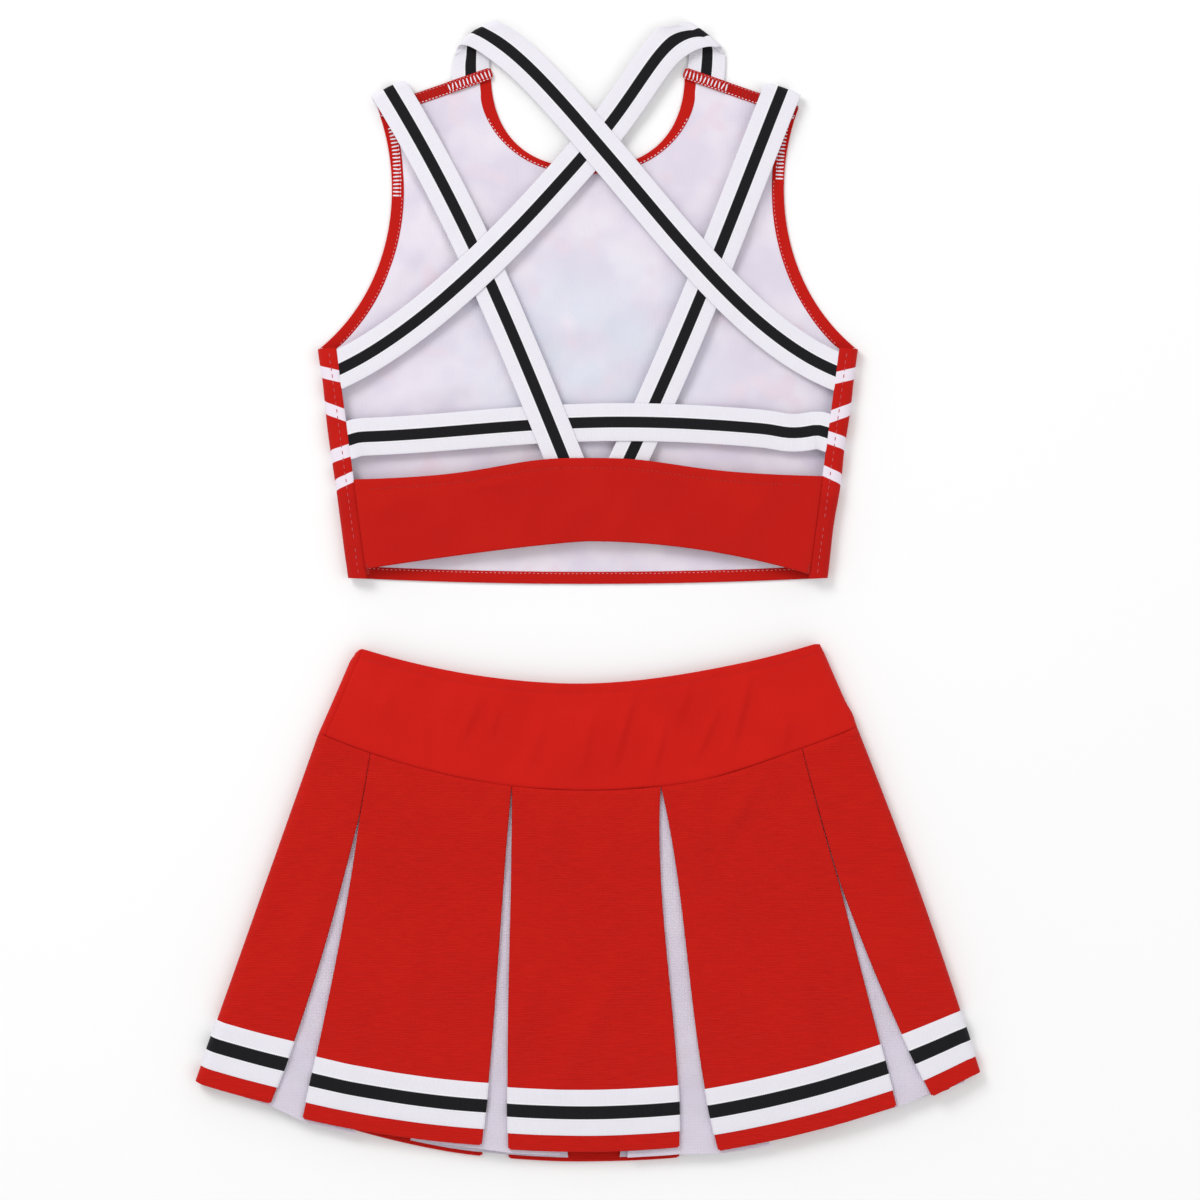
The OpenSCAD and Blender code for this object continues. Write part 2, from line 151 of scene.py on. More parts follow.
def neck_line(inset):
    """The right half of the neck scoop, from its lowest point to the shoulder, moved into the cloth."""
    a = np.radians(np.linspace(90, 0, 80))
    x = (NECK_HALF + inset) * np.cos(a) ** NECK_POWER
    y = SHOULDER - (NECK_DEPTH + inset) * np.sin(a) ** NECK_POWER
    return np.stack([x, y], axis=1)


def armhole_line(inset):
    """The right armhole from the underarm to the shoulder, moved into the cloth."""
    end = np.array(SHOULDER_END)
    points = [end, (end[0] - 20, end[1] - 53), (CHEST - 49, UNDERARM + 39), (CHEST, UNDERARM)]
    line = cubic(points, np.linspace(1, 0, 80))
    d = directions(line)
    return line + inset * np.stack([-d[:, 1], d[:, 0]], axis=1)


def top_hem(x):
    return TOP_HEM + TOP_HEM_RISE * (x / TOP_HEM_HALF) ** 2


def top_fold_x(y):
    return TOP_HEM_HALF + (CHEST - TOP_HEM_HALF) * (y - TOP_HEM) / (UNDERARM - TOP_HEM)


def band_top(x):
    end = 72.5 + 2.5 * smooth(x / 40 + 0.5)
    return end + (88 - end) / (1 + (np.abs(x) / 72) ** 3)


def band_bottom(x):
    left, right = 18.0 * (np.abs(x) / 145) ** 1.25, 21.5 * (x / 145) ** 2
    return 34 - np.where(x < 0, left, right)


def waist_y(x):
    return WAIST_MID + WAIST_CURVE * x * x + 3.0 * smooth((x + 20) / 120)


def yoke_y(x):
    return YOKE_MID + YOKE_CURVE * x * x + 4.0 * smooth((x - 70) / 75)


def hem_y(x, layer):
    drop = FRONT_DROP * smooth((x + 185) / 110) * smooth((82 - x) / 20) if layer == FRONT else 0
    return HEM_MID + HEM_CURVE * x * x - drop


# ---- unevenness of cloth that lies flat ----

def ridge(x, y, start, end, width, height):
    """A soft crease along the line from start to end."""
    dx, dy = end[0] - start[0], end[1] - start[1]
    t = np.clip(((x - start[0]) * dx + (y - start[1]) * dy) / (dx * dx + dy * dy), 0, 1)
    away = np.hypot(x - start[0] - t * dx, y - start[1] - t * dy)
    return height * np.exp(-((away / width) ** 2)) * (0.35 + 0.65 * np.sin(PI * t))


def swell(x, y, seed, size, height):
    """Slow unevenness of about that size across."""
    draw = np.random.default_rng(seed)
    total = 0 * x
    for _ in range(9):
        turn, stretch, phase = draw.uniform(0, 2 * PI), draw.uniform(0.6, 1.5), draw.uniform(0, 2 * PI)
        total = total + np.sin(2 * PI / (size * stretch) * (x * np.cos(turn) + y * np.sin(turn)) + phase)
    return height * total / 3


def creases(x, y, rows):
    return sum(ridge(x, y, *row) for row in rows)


def edge_wander(y, seed, height):
    """A fold's outline wanders a little in and out along its length."""
    return swell(0 * y, y, seed, 60, height)


# ---- meshes ----

def patch(x, y, z, u=None, v=None):
    """A grid's points in millimetres and its UVs in metres, which follow X and Y where none are given."""
    u, v = (x if u is None else u), (y if v is None else v)
    return np.stack([x, y, z], axis=-1), np.stack([u * MM, v * MM], axis=-1)


def grid_faces(rows, cols, start=0):
    i = np.arange(rows * cols).reshape(rows, cols) + start
    return np.stack([i[:-1, :-1], i[:-1, 1:], i[1:, 1:], i[1:, :-1]], axis=-1).reshape(-1, 4)


def tube_faces(rings, around):
    """Faces of a closed tube with its two flat ends."""
    i = np.arange(rings * around).reshape(rings, around)
    j = np.roll(i, -1, axis=1)
    faces = np.stack([i[:-1], j[:-1], j[1:], i[1:]], axis=-1).reshape(-1, 4).tolist()
    return faces + [i[0, ::-1].tolist(), i[-1].tolist()]


def mesh_object(name, points, faces, uvs, materials):
    """A mesh object from points in millimetres, lists of faces and one UV in metres for each point."""
    mesh = bpy.data.meshes.new(name)
    mesh.from_pydata((points * MM).tolist(), [], faces)
    layer = mesh.uv_layers.new(name="UVMap")
    loops = np.zeros(len(mesh.loops), int)
    mesh.loops.foreach_get("vertex_index", loops)
    layer.data.foreach_set("uv", uvs[loops].ravel())
    for material in materials:
        mesh.materials.append(material)
    obj = bpy.data.objects.new(name, mesh)
    bpy.context.scene.collection.objects.link(obj)
    return obj


def rework(obj, change):
    """Applies a change to the object's mesh."""
    work = bmesh.new()
    work.from_mesh(obj.data)
    change(work)
    work.to_mesh(obj.data)
    work.free()


def finish_shading(obj, angle):
    obj.data.polygons.foreach_set("use_smooth", [True] * len(obj.data.polygons))
    obj.data.set_sharp_from_angle(angle=math.radians(angle))


def cloth(name, patches, thick, materials, flip=False):
    """One sheet of cloth from patches of (points, uvs), joined where they meet and then given its thickness.

    The first material is on the side that the patches' normals face, and the second on the other side.
    """
    points, uvs, faces, start = [], [], [], 0
    for p, uv in patches:
        rows, cols = p.shape[:2]
        points.append(p.reshape(-1, 3))
        uvs.append(uv.reshape(-1, 2))
        faces.append(grid_faces(rows, cols, start))
        start += rows * cols
    order = -1 if flip else 1
    faces = np.concatenate(faces)[:, ::order].tolist()
    obj = mesh_object(name, np.concatenate(points), faces, np.concatenate(uvs), materials)
    rework(obj, lambda work: bmesh.ops.remove_doubles(work, verts=work.verts, dist=0.02 * MM))
    shell = obj.modifiers.new("thickness", "SOLIDIFY")
    shell.thickness = thick * MM
    shell.offset = 0
    shell.material_offset = len(materials) - 1
    applied = bpy.data.meshes.new_from_object(obj.evaluated_get(bpy.context.evaluated_depsgraph_get()))
    obj.modifiers.clear()
    obj.data = applied
    finish_shading(obj, 50)
    return obj


def swept(name, centres, sides, ups, profile, material):
    """A closed section swept along stations. A profile point is (across, up, V in metres)."""
    profile = np.array(profile, float)
    points = centres[:, None] + sides[:, None] * profile[None, :, :1] + ups[:, None] * profile[None, :, 1:2]
    along = np.concatenate([[0], np.cumsum(np.linalg.norm(np.diff(centres, axis=0), axis=1))]) * MM
    u, v = np.meshgrid(along, profile[:, 2], indexing="ij")
    obj = mesh_object(name, points.reshape(-1, 3), tube_faces(len(centres), len(profile)),
                      np.stack([u, v], axis=-1).reshape(-1, 2), [material])
    rework(obj, lambda work: bmesh.ops.recalc_face_normals(work, faces=work.faces))
    finish_shading(obj, 60)
    return obj


def flat_section(width, height, count=28, squareness=0.28):
    """A flat strip's section with round edges, as (across, up, V)."""
    a = np.linspace(0, 2 * PI, count, endpoint=False)
    across = -np.sign(np.cos(a)) * np.abs(np.cos(a)) ** squareness * width / 2
    up = -np.sign(np.sin(a)) * np.abs(np.sin(a)) ** 0.6 * height / 2
    return [(p, q, (p + width / 2) * MM) for p, q in zip(across, up)]


def stitches(name, points, along, ups, size, material):
    """One mesh of thread stitches, each a small flattened bead of that length, width and height."""
    rings, around = 5, 6
    t, a = np.meshgrid(np.arange(rings), np.arange(around), indexing="ij")
    t, a = (2 * t + 1) / rings - 1, 2 * PI * a / around
    radius = np.sqrt(1 - t * t)
    bead = np.stack([t, radius * np.cos(a), radius * np.sin(a)], axis=-1).reshape(-1, 3) * np.array(size) / 2
    along = unit(along)
    side = unit(np.cross(ups, along))
    up = np.cross(along, side)
    every = (points[:, None] + along[:, None] * bead[None, :, :1] + side[:, None] * bead[None, :, 1:2]
             + up[:, None] * bead[None, :, 2:]).reshape(-1, 3)
    bead_faces = tube_faces(rings, around)
    faces = [[s * len(bead) + q for q in face] for s in range(len(points)) for face in bead_faces]
    obj = mesh_object(name, every, faces, every[:, :2] * MM, [material])
    finish_shading(obj, 80)
    return obj


def stitch_line(name, line, pitch, size, material, seed, across=False, jitter=0.1, body="top"):
    """A row of stitches along a line of points, or across it as overlock threads lie, on that body."""
    count = max(2, int(length_of(line) / pitch))
    points = spaced(line, count)
    along = directions(points)
    ups = np.tile([0.0, 0.0, 1.0], (count, 1))
    side = np.cross(ups, along)
    wander = jitter * np.random.default_rng(seed).normal(size=(count, 1))
    if across:
        along = side + wander * along
    else:
        points = points + wander * side
    return place(stitches(name, points, along, ups, size, material), body, "elastic")


# ---- materials ----

def srgb(r, g, b):
    """A colour given as sRGB bytes, as the linear values that shaders take."""
    def linear(c):
        c /= 255
        return c / 12.92 if c <= 0.04045 else ((c + 0.055) / 1.055) ** 2.4
    return (linear(r), linear(g), linear(b), 1.0)


class Shader:
    """A procedural material around one Principled shader, with short names for its usual nodes."""

    def __init__(self, name, roughness=0.8, sheen=0.2):
        self.material = bpy.data.materials.new(name)
        self.material.use_nodes = True
        self.tree = self.material.node_tree
        self.shader = self.tree.nodes["Principled BSDF"]
        self.shader.inputs["Roughness"].default_value = roughness
        self.shader.inputs["Specular IOR Level"].default_value = 0.12
        self.shader.inputs["Sheen Weight"].default_value = sheen
        self.shader.inputs["Sheen Roughness"].default_value = 0.5
        coords = self.tree.nodes.new("ShaderNodeTexCoord")
        self.uv_vector = coords.outputs["UV"]
        self.place = coords.outputs["Object"]
        self.u, self.v = self.split(self.uv_vector)

    def put(self, socket, value):
        if isinstance(value, bpy.types.NodeSocket):
            self.tree.links.new(value, socket)
        else:
            socket.default_value = value

    def split(self, vector):
        """X and Y of a vector."""
        node = self.tree.nodes.new("ShaderNodeSeparateXYZ")
        self.put(node.inputs[0], vector)
        return node.outputs[0], node.outputs[1]

    def math(self, kind, a, b=0.0):
        node = self.tree.nodes.new("ShaderNodeMath")
        node.operation = kind
        self.put(node.inputs[0], a)
        self.put(node.inputs[1], b)
        return node.outputs[0]

    def add(self, *terms):
        total = terms[0]
        for term in terms[1:]:
            total = self.math("ADD", total, term)
        return total

    def times(self, a, b):
        return self.math("MULTIPLY", a, b)

    def wave(self, value, pitch):
        """A sine of that pitch in metres."""
        return self.math("SINE", self.times(value, 2 * PI / pitch))

    def vector(self, x, y, z=0.0):
        node = self.tree.nodes.new("ShaderNodeCombineXYZ")
        for socket, value in zip(node.inputs, (x, y, z)):
            self.put(socket, value)
        return node.outputs[0]

    def noise(self, vector, scale, detail=2.0, roughness=0.5):
        node = self.tree.nodes.new("ShaderNodeTexNoise")
        self.put(node.inputs["Vector"], vector)
        node.inputs["Scale"].default_value = scale
        node.inputs["Detail"].default_value = detail
        node.inputs["Roughness"].default_value = roughness
        return node.outputs["Fac"]

    def ramp(self, value, low, high, start=0.0, end=1.0):
        """start below low, end above high, and a smooth step between."""
        node = self.tree.nodes.new("ShaderNodeMapRange")
        node.interpolation_type = "SMOOTHSTEP"
        for socket, v in zip(node.inputs, (value, low, high, start, end)):
            self.put(socket, v)
        return node.outputs[0]

    def mix(self, amount, a, b):
        node = self.tree.nodes.new("ShaderNodeMix")
        node.data_type = "RGBA"
        self.put(node.inputs[0], amount)
        self.put(node.inputs[6], a)
        self.put(node.inputs[7], b)
        return node.outputs[2]

    def colour(self, value):
        self.put(self.shader.inputs["Base Color"], value)

    def bump(self, height, distance, strength=1.0):
        node = self.tree.nodes.new("ShaderNodeBump")
        node.inputs["Distance"].default_value = distance
        node.inputs["Strength"].default_value = strength
        self.put(node.inputs["Height"], height)
        self.tree.links.new(node.outputs[0], self.shader.inputs["Normal"])
        return self.material


RED = srgb(188, 20, 12)
RED_LIGHT = srgb(198, 26, 16)
RED_MID = srgb(193, 22, 14)
RED_DARK = srgb(176, 16, 10)
WHITE = srgb(236, 234, 240)
WHITE_SHADE = srgb(226, 223, 232)
BLACK = srgb(15, 14, 17)


def ribbed_red():
    """Skirt cloth: fine cross ribs with slubs, and slow changes of tone."""
    s = Shader("ribbed_red_cloth", 0.85, 0.03)
    slub = s.noise(s.vector(s.times(s.u, 90.0), s.times(s.v, 1500.0)), 1.0, 2.0)
    tone = s.noise(s.uv_vector, 18.0, 2.0)
    s.colour(s.mix(s.ramp(slub, 0.3, 0.72), s.mix(s.ramp(tone, 0.3, 0.7), RED, RED_MID), RED_LIGHT))
    rib = s.add(s.times(s.wave(s.v, 0.0011), 0.6), s.times(slub, 1.1))
    thread = s.times(s.wave(s.u, 0.0007), 0.15)
    return s.bump(s.add(rib, thread), 0.00017)


def plain_red(name="plain_red_cloth", shade=1.0):
    """Smooth knit of the band, the waistband, the bindings and the facings. shade scales the colour, and above
    1 paints light into it.
    """
    s = Shader(name, 0.82, 0.03)
    grain = s.noise(s.uv_vector, 1400.0, 2.0)
    tone = s.noise(s.uv_vector, 22.0, 2.0)
    low = [c * shade for c in RED_DARK[:3]] + [1.0]
    high = [c * shade for c in RED_LIGHT[:3]] + [1.0]
    s.colour(s.mix(s.add(s.times(tone, 0.7), s.times(grain, 0.3)), low, high))
    knit = s.add(s.times(s.wave(s.u, 0.0009), 0.3), s.times(s.wave(s.v, 0.0006), 0.2), grain)
    return s.bump(knit, 0.0001)


def lining():
    """Wrong side of the printed front: white with a soft lilac, pink and blue mottle."""
    s = Shader("lining_face", 0.85, 0.1)
    base = s.mix(s.ramp(s.noise(s.place, 26.0, 2.0), 0.35, 0.65), srgb(218, 210, 225), srgb(229, 223, 233))
    pink = s.mix(s.ramp(s.noise(s.place, 41.0, 1.0), 0.55, 0.75), base, srgb(226, 212, 224))
    x, y = s.split(s.place)
    across = s.times(x, 10.0)
    upwards = s.times(s.add(y, -0.155), 13.0)
    away = s.math("SQRT", s.add(s.times(across, across), s.times(upwards, upwards)))
    middle = s.times(s.ramp(away, 0.35, 1.15, 1.0, 0.0), s.ramp(s.noise(s.place, 33.0, 2.0), 0.3, 0.6))
    s.colour(s.mix(s.times(middle, 0.75), pink, srgb(212, 216, 229)))
    knit = s.add(s.times(s.wave(s.u, 0.0009), 0.3), s.noise(s.uv_vector, 1500.0, 2.0))
    return s.bump(knit, 0.00009)


# The print's stripes as their height at the side seam, their rise per metre towards the front, their width
# and how much higher they start on the right
PRINT_STRIPES = [
    (0.1420, 0.25, 0.0080, -0.001), (0.1165, 0.40, 0.0085, -0.001),
    (0.0935, -0.33, 0.0083, 0.0085), (0.0762, -0.45, 0.0070, 0.004),
]
# Distance round the top from the middle of the front to the side seam at Y = 0, and its growth per metre up
GIRTH_AT_HEM, GIRTH_GROWTH = 0.1741, 0.1327


def printed():
    """Right side of the front: red with plain white chevron stripes that start at the side seams."""
    s = Shader("printed_face", 0.8, 0.03)
    girth = s.add(s.times(s.v, GIRTH_GROWTH), GIRTH_AT_HEM)
    inward = s.math("SUBTRACT", girth, s.math("ABSOLUTE", s.u))
    on_right = s.ramp(s.u, 0.0, 0.001)
    stripes = 0.0
    for height, rise, width, higher in PRINT_STRIPES:
        middle = s.add(s.times(inward, rise), s.times(on_right, higher), height)
        away = s.math("ABSOLUTE", s.math("SUBTRACT", s.v, middle))
        stripes = s.math("MAXIMUM", stripes, s.ramp(away, width / 2 - 0.0002, width / 2 + 0.0002, 1.0, 0.0))
    tone = s.mix(s.noise(s.uv_vector, 22.0, 2.0), RED_DARK, RED_LIGHT)
    lower = s.ramp(s.v, 0.060, 0.066, 0.3, 0.0)
    s.colour(s.mix(stripes, s.mix(lower, tone, srgb(166, 14, 9)), srgb(232, 222, 234)))
    knit = s.add(s.times(s.wave(s.u, 0.0009), 0.3), s.noise(s.uv_vector, 1400.0, 2.0))
    return s.bump(knit, 0.0001)


def striped(name, width, black):
    """Woven webbing, white with one black stripe down its middle and a raised line on each side of it, which is
    painted brighter as a highlight.
    """
    s = Shader(name, 0.72, 0.06)
    edge = s.times(s.wave(s.u, 0.0012), 0.00008)
    away = s.add(s.math("ABSOLUTE", s.add(s.v, -width / 2)), edge)
    is_black = s.ramp(away, black / 2 - 0.00015, black / 2 + 0.00015, 1.0, 0.0)
    line = s.ramp(s.math("ABSOLUTE", s.add(away, -black / 2 - 0.0005)), 0.0001, 0.0005, 1.0, 0.0)
    rib = s.wave(s.u, 0.0012)
    slub = s.noise(s.vector(s.times(s.u, 900.0), s.times(s.v, 90.0)), 1.0, 2.0)
    white = s.mix(s.add(s.times(rib, 0.10), s.times(slub, 0.6)), WHITE_SHADE, WHITE)
    # painted highlight: the raised lines get a brighter white, for the light that catches them
    white = s.mix(line, white, srgb(247, 247, 250))
    s.colour(s.mix(is_black, white, s.mix(slub, BLACK, srgb(25, 24, 28))))
    height = s.add(s.times(rib, 0.5), s.times(slub, 0.5), s.times(line, 1.5), s.times(is_black, -0.8))
    return s.bump(height, 0.00012)


def pleat_white():
    """Thin white cloth of the pleat inserts, with a faint mesh."""
    s = Shader("pleat_white_cloth", 0.82, 0.12)
    tone = s.noise(s.uv_vector, 24.0, 2.0)
    s.colour(s.mix(tone, srgb(211, 203, 218), srgb(225, 218, 231)))
    mesh = s.add(s.wave(s.u, 0.0010), s.wave(s.v, 0.0010), s.noise(s.uv_vector, 900.0))
    return s.bump(mesh, 0.00008)


def thread(name, colour, shade):
    s = Shader(name, 0.6, 0.3)
    s.colour(s.mix(s.noise(s.place, 900.0, 1.0), colour, shade))
    return s.bump(s.noise(s.place, 4000.0, 1.0), 0.00005)


def elastic_white():
    s = Shader("woven_elastic", 0.7, 0.1)
    rib = s.wave(s.u, 0.0010)
    s.colour(s.mix(s.ramp(rib, -1.0, 1.0), srgb(214, 214, 208), srgb(236, 236, 232)))
    return s.bump(rib, 0.0001)


RIBBED = ribbed_red()
PLAIN = plain_red()
DEEP = plain_red("deep_red_cloth", 0.88)
# painted light: the waistband's copy of the knit is 13% lighter, for the light that falls on the waistband
WAIST_RED_PAINTED_LIGHT = plain_red("waist_red_painted_light", 1.13)
LINING = lining()
PRINT = printed()
WEBBING = striped("striped_webbing", STRAP_W * MM, 0.0072)
TRIM = striped("striped_hem_trim", TRIM_W * MM, 0.0086)
PLEAT = pleat_white()
WHITE_THREAD = thread("white_thread", srgb(244, 238, 244), srgb(226, 214, 226))
RED_THREAD = thread("red_thread", srgb(188, 26, 22), srgb(150, 16, 14))
PINK_THREAD = thread("pink_thread", srgb(232, 150, 160), srgb(214, 120, 130))
SEAM_THREAD = thread("seam_thread", srgb(206, 92, 98), srgb(170, 40, 42))
ELASTIC = elastic_white()


# ---- riding on the frame ----

def place(obj, body, slot, *nodes):
    """The piece rides on a body and stands for those CAD nodes, which it hides. slot is not used."""
    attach(obj, body)
    if nodes:
        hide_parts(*nodes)
    return obj


# A stretch below the waist, handed to the back layer's pieces
FLAP_START, FLAP_END = (0, -0.100, 0), (0, -0.140, 0)


def place_flap(obj, slot, *nodes, start=FLAP_START, end=FLAP_END):
    """A piece of the skirt's back layer, which stays where it is built; it stands for those CAD nodes, which it
    hides.
    """
    if nodes:
        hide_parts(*nodes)
    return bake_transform(obj)


# ---- crop top: the printed front ----

LOW_ROWS, HIGH_ROWS, HALF_COLS = 60, 84, 66
WRAP_OUT, WRAP_UP = 5.6, 5.1    # radii of the side fold, to the middle of the cloth
WRAP_ARC = PI * (WRAP_OUT + WRAP_UP) / 2
PANEL_Z = 0.9
SHOULDER_SLOPE = (SHOULDER - SHOULDER_END[1]) / (SHOULDER_END[0] - NECK_HALF)

# Creases of the front, as start, end, width and height
LINING_CREASES = [
    ((-124, 284), (-112, 262), 4, 2.3), ((-111, 264), (-103, 244), 4, 2.2), ((-101, 243), (-93, 224), 4, 2.0),
    ((-92, 292), (-86, 268), 4, 1.8), ((104, 284), (97, 258), 4, 2.0), ((117, 264), (108, 238), 4, 1.9),
    ((-136, 126), (-66, 142), 9, 2.3), ((-44, 168), (34, 190), 14, 2.4), ((24, 246), (62, 222), 11, 1.9),
    ((-34, 250), (-58, 226), 11, 1.6), ((60, 120), (130, 138), 12, 2.2), ((110, 200), (136, 168), 9, 1.8),
    ((-138, 200), (-112, 226), 8, 1.6), ((-60, 46), (40, 40), 14, 1.6), ((-20, 128), (12, 150), 9, 1.4),
]


def shoulder_line(x):
    return SHOULDER - SHOULDER_SLOPE * (np.abs(x) - NECK_HALF)


def side_fold_edge():
    """The armhole's edge from the side fold to the shoulder, where the cloth lies flat."""
    line = armhole_line(3.5)
    return line[line[:, 0] < top_fold_x(line[:, 1]) - FOLD_R]


JOIN_Y = float(side_fold_edge()[0, 1])


def front_rows():
    """Inner and outer edge of the right half of the front, row by row from the hem to the shoulder."""
    inner = spaced(np.concatenate([[[0, TOP_HEM]], neck_line(3)]), LOW_ROWS + HIGH_ROWS)
    low_y = top_hem(TOP_HEM_HALF - FOLD_R)
    y = low_y + (JOIN_Y - low_y) * np.linspace(0, 1, LOW_ROWS)
    fold = np.stack([top_fold_x(y) - FOLD_R, y], axis=1)
    high = spaced(np.concatenate([fold[-1:], side_fold_edge()]), HIGH_ROWS + 1)
    return inner, np.concatenate([fold, high[1:]])


def front_half(side):
    """The flat half of the front on one side. The halves meet on the centre line, below the neck."""
    inner, outer = front_rows()
    c = np.linspace(0, 1, HALF_COLS)
    bow = 2 - np.linspace(0, 1, len(inner))[:, None]
    x = inner[:, :1] + (outer[:, :1] - inner[:, :1]) * c
    y = inner[:, 1:] + (outer[:, 1:] - inner[:, 1:]) * c**bow
    y = np.where(x > NECK_HALF, np.minimum(y, shoulder_line(x)), y)
    span = outer[:, :1] - inner[:, :1]
    at_neck = np.maximum(smooth(c * span / 12), smooth((NECK_LOW[1] - y) / 12))
    calm = smooth((1 - c) * span / 14) * at_neck * smooth((304 - y) / 16) * smooth((y - 13) / 10)
    if side < 0:
        x, y, calm = -x[:, ::-1], y[:, ::-1], calm[:, ::-1]
    relief = creases(x, y, LINING_CREASES) + swell(x, y, 3, 70, 0.5) + swell(x, y, 4, 26, 0.13)
    z = PANEL_Z + calm * np.maximum(relief + 0.3, -0.2)
    return patch(x, y, z)


def side_wrap(side):
    """The cloth that turns over a side fold to the back and ends at the side seam."""
    turn = np.linspace(0, PI, 17)
    leg = np.linspace(0, SEAM_IN - FOLD_R, 9)[1:]
    turn = np.concatenate([turn, np.full(len(leg), PI)])
    inwards = np.concatenate([np.zeros(17), leg])
    along = turn / PI * WRAP_ARC + inwards
    top = np.interp(along, [0, WRAP_ARC / 2, along[-1]], [JOIN_Y, UNDERARM, UNDERARM + 1])
    low = top_hem(TOP_HEM_HALF - FOLD_R + WRAP_OUT * np.sin(turn) - inwards)
    y = low + (top - low) * np.linspace(0, 1, LOW_ROWS)[:, None]
    wander = edge_wander(y, 11 + side, 0.45) * smooth((y - 14) / 12) * smooth((150 - y) / 12)
    x = top_fold_x(y) - FOLD_R + (WRAP_OUT + wander) * np.sin(turn) - inwards
    wrinkle = 0.22 * np.sin(turn / 2) * swell(x, y, 21 + side, 16, 1.0) * smooth((78 - y) / 14)
    z = FOLD_R - WRAP_UP * np.cos(turn)
    z = z - 0.9 * smooth((inwards - 5) / 1.5) + wrinkle * smooth((6 - inwards) / 3)
    points, uv = patch(side * x, y, z, side * (top_fold_x(y) - FOLD_R + along))
    return (points, uv) if side > 0 else (points[:, ::-1], uv[:, ::-1])


def front_panel():
    patches = [front_half(1), front_half(-1), side_wrap(1), side_wrap(-1)]
    obj = cloth("front_panel_cloth", patches, CLOTH, [LINING, PRINT])
    return place(obj, "top", "front_cloth", "front_panel")


# ---- crop top: bindings, facings and their stitches ----

def lying(line, z):
    """A flat line of points at a height."""
    return np.column_stack([line, np.broadcast_to(z, len(line))])


def mirror_x(points):
    return np.asarray(points) * ([-1, 1, 1] if np.shape(points)[-1] == 3 else [-1, 1])


def binding(name, edge, inner, width, height, node):
    """Knit folded over a raw edge. edge and inner are its outline and the same line BINDING further in."""
    into = unit(inner - edge)
    centre = lying(edge + into * width[:, None] / 2, 0.1 + height / 2)
    sides = np.column_stack([into * width[:, None] / BINDING, np.zeros(len(edge))])
    ups = np.column_stack([np.zeros((len(edge), 2)), height / 1.9])
    return place(swept(name, centre, sides, ups, flat_section(BINDING, 1.9), PLAIN), "top", "red_cloth", node)


def neck_binding():
    edge, inner = neck_line(0), neck_line(BINDING)
    edge = np.concatenate([mirror_x(edge[:0:-1]), edge])
    inner = np.concatenate([mirror_x(inner[:0:-1]), inner])
    width = 4.4 + 3.9 * smooth((edge[:, 1] - NECK_LOW[1] - 10) / 46)
    height = 1.9 - 0.75 * smooth((edge[:, 1] - SHOULDER + 26) / 12)
    piece = binding("neck_binding_knit", edge, inner, width, height, "neck_binding")
    seam = edge + (inner - edge) / BINDING * (width - 1.1)[:, None]
    seam = lying(seam, 2.0)[edge[:, 1] < SHOULDER - 30]
    return piece, [stitch_line("neck_coverstitch", seam, 2.6, (1.5, 0.55, 0.4), WHITE_THREAD, 5, jitter=0.08)]


# Where the overlock ladder lies on each armhole, as its lowest and highest Y
LADDERS = {"left": (261, 306), "right": (272, 318)}


def armhole_binding(name):
    side = 1 if name == "right" else -1
    edge, inner = armhole_line(0), armhole_line(BINDING)
    height = 1.9 - 0.75 * smooth((edge[:, 1] - SHOULDER_END[1] + 22) / 10)
    # round the side fold the binding rises with the cloth, as far as the side seam
    width = BINDING - 1.2 * smooth((UNDERARM + 12 - edge[:, 1]) / 12)
    if side < 0:
        edge, inner = mirror_x(edge), mirror_x(inner)
    piece = binding(f"{name}_armhole_binding_knit", edge, inner, width, height, f"{name}_armhole_binding")
    into = (inner - edge) / BINDING
    low, high = LADDERS[name]
    in_ladder = (edge[:, 1] > low) & (edge[:, 1] < high)
    lower = (edge[:, 1] <= low) & (edge[:, 1] > UNDERARM + 8)
    # the ladder starts on the inner half of the binding and drifts to its outer half
    drift = (2.9 + 1.9 * smooth((edge[:, 1] - low) / (high - low)))[:, None]
    ladder = lying(edge + into * drift, 2.15)[in_ladder]
    rail = lying(edge + into * (drift + 2.6), 2.15)[in_ladder]
    seam = lying(edge + into * 6.8, 2.02)[lower]
    key = f"{name}_armhole"
    return piece, [
        stitch_line(f"{key}_overlock", ladder, 2.3, (5.4, 1.1, 0.7), WHITE_THREAD, 7, across=True),
        stitch_line(f"{key}_overlock_edge", rail, 2.3, (1.5, 0.8, 0.6), WHITE_THREAD, 8, jitter=0.15),
        stitch_line(f"{key}_coverstitch", seam, 2.6, (1.5, 0.5, 0.4), PINK_THREAD, 9),
    ]


def front_hem_facing():
    x = np.linspace(-149.5, 149.5, 150)
    rise = np.array([0, 0.6, 2.0, 3.8, 5.4, 7.0, 7.8])
    drop = np.array([0.25, 0.05, 0, 0, 0, 0.05, 0.3])
    gx, gr = np.meshgrid(x, rise, indexing="ij")
    y = top_hem(gx) + 0.2 + gr
    z = 1.65 - drop + swell(gx, y, 31, 12, 0.06)
    obj = cloth("front_hem_facing_knit", [patch(gx, y, z, gx, gr)], 0.5, [PLAIN], flip=True)
    seam = lying(np.stack([x, top_hem(x) + 6.9], axis=1), 1.98)
    dots = stitch_line("front_hem_coverstitch", seam, 2.8, (1.6, 0.55, 0.4), PINK_THREAD, 12)
    return place(obj, "top", "red_cloth", "front_hem_facing"), [dots]


# ---- crop top: straps ----

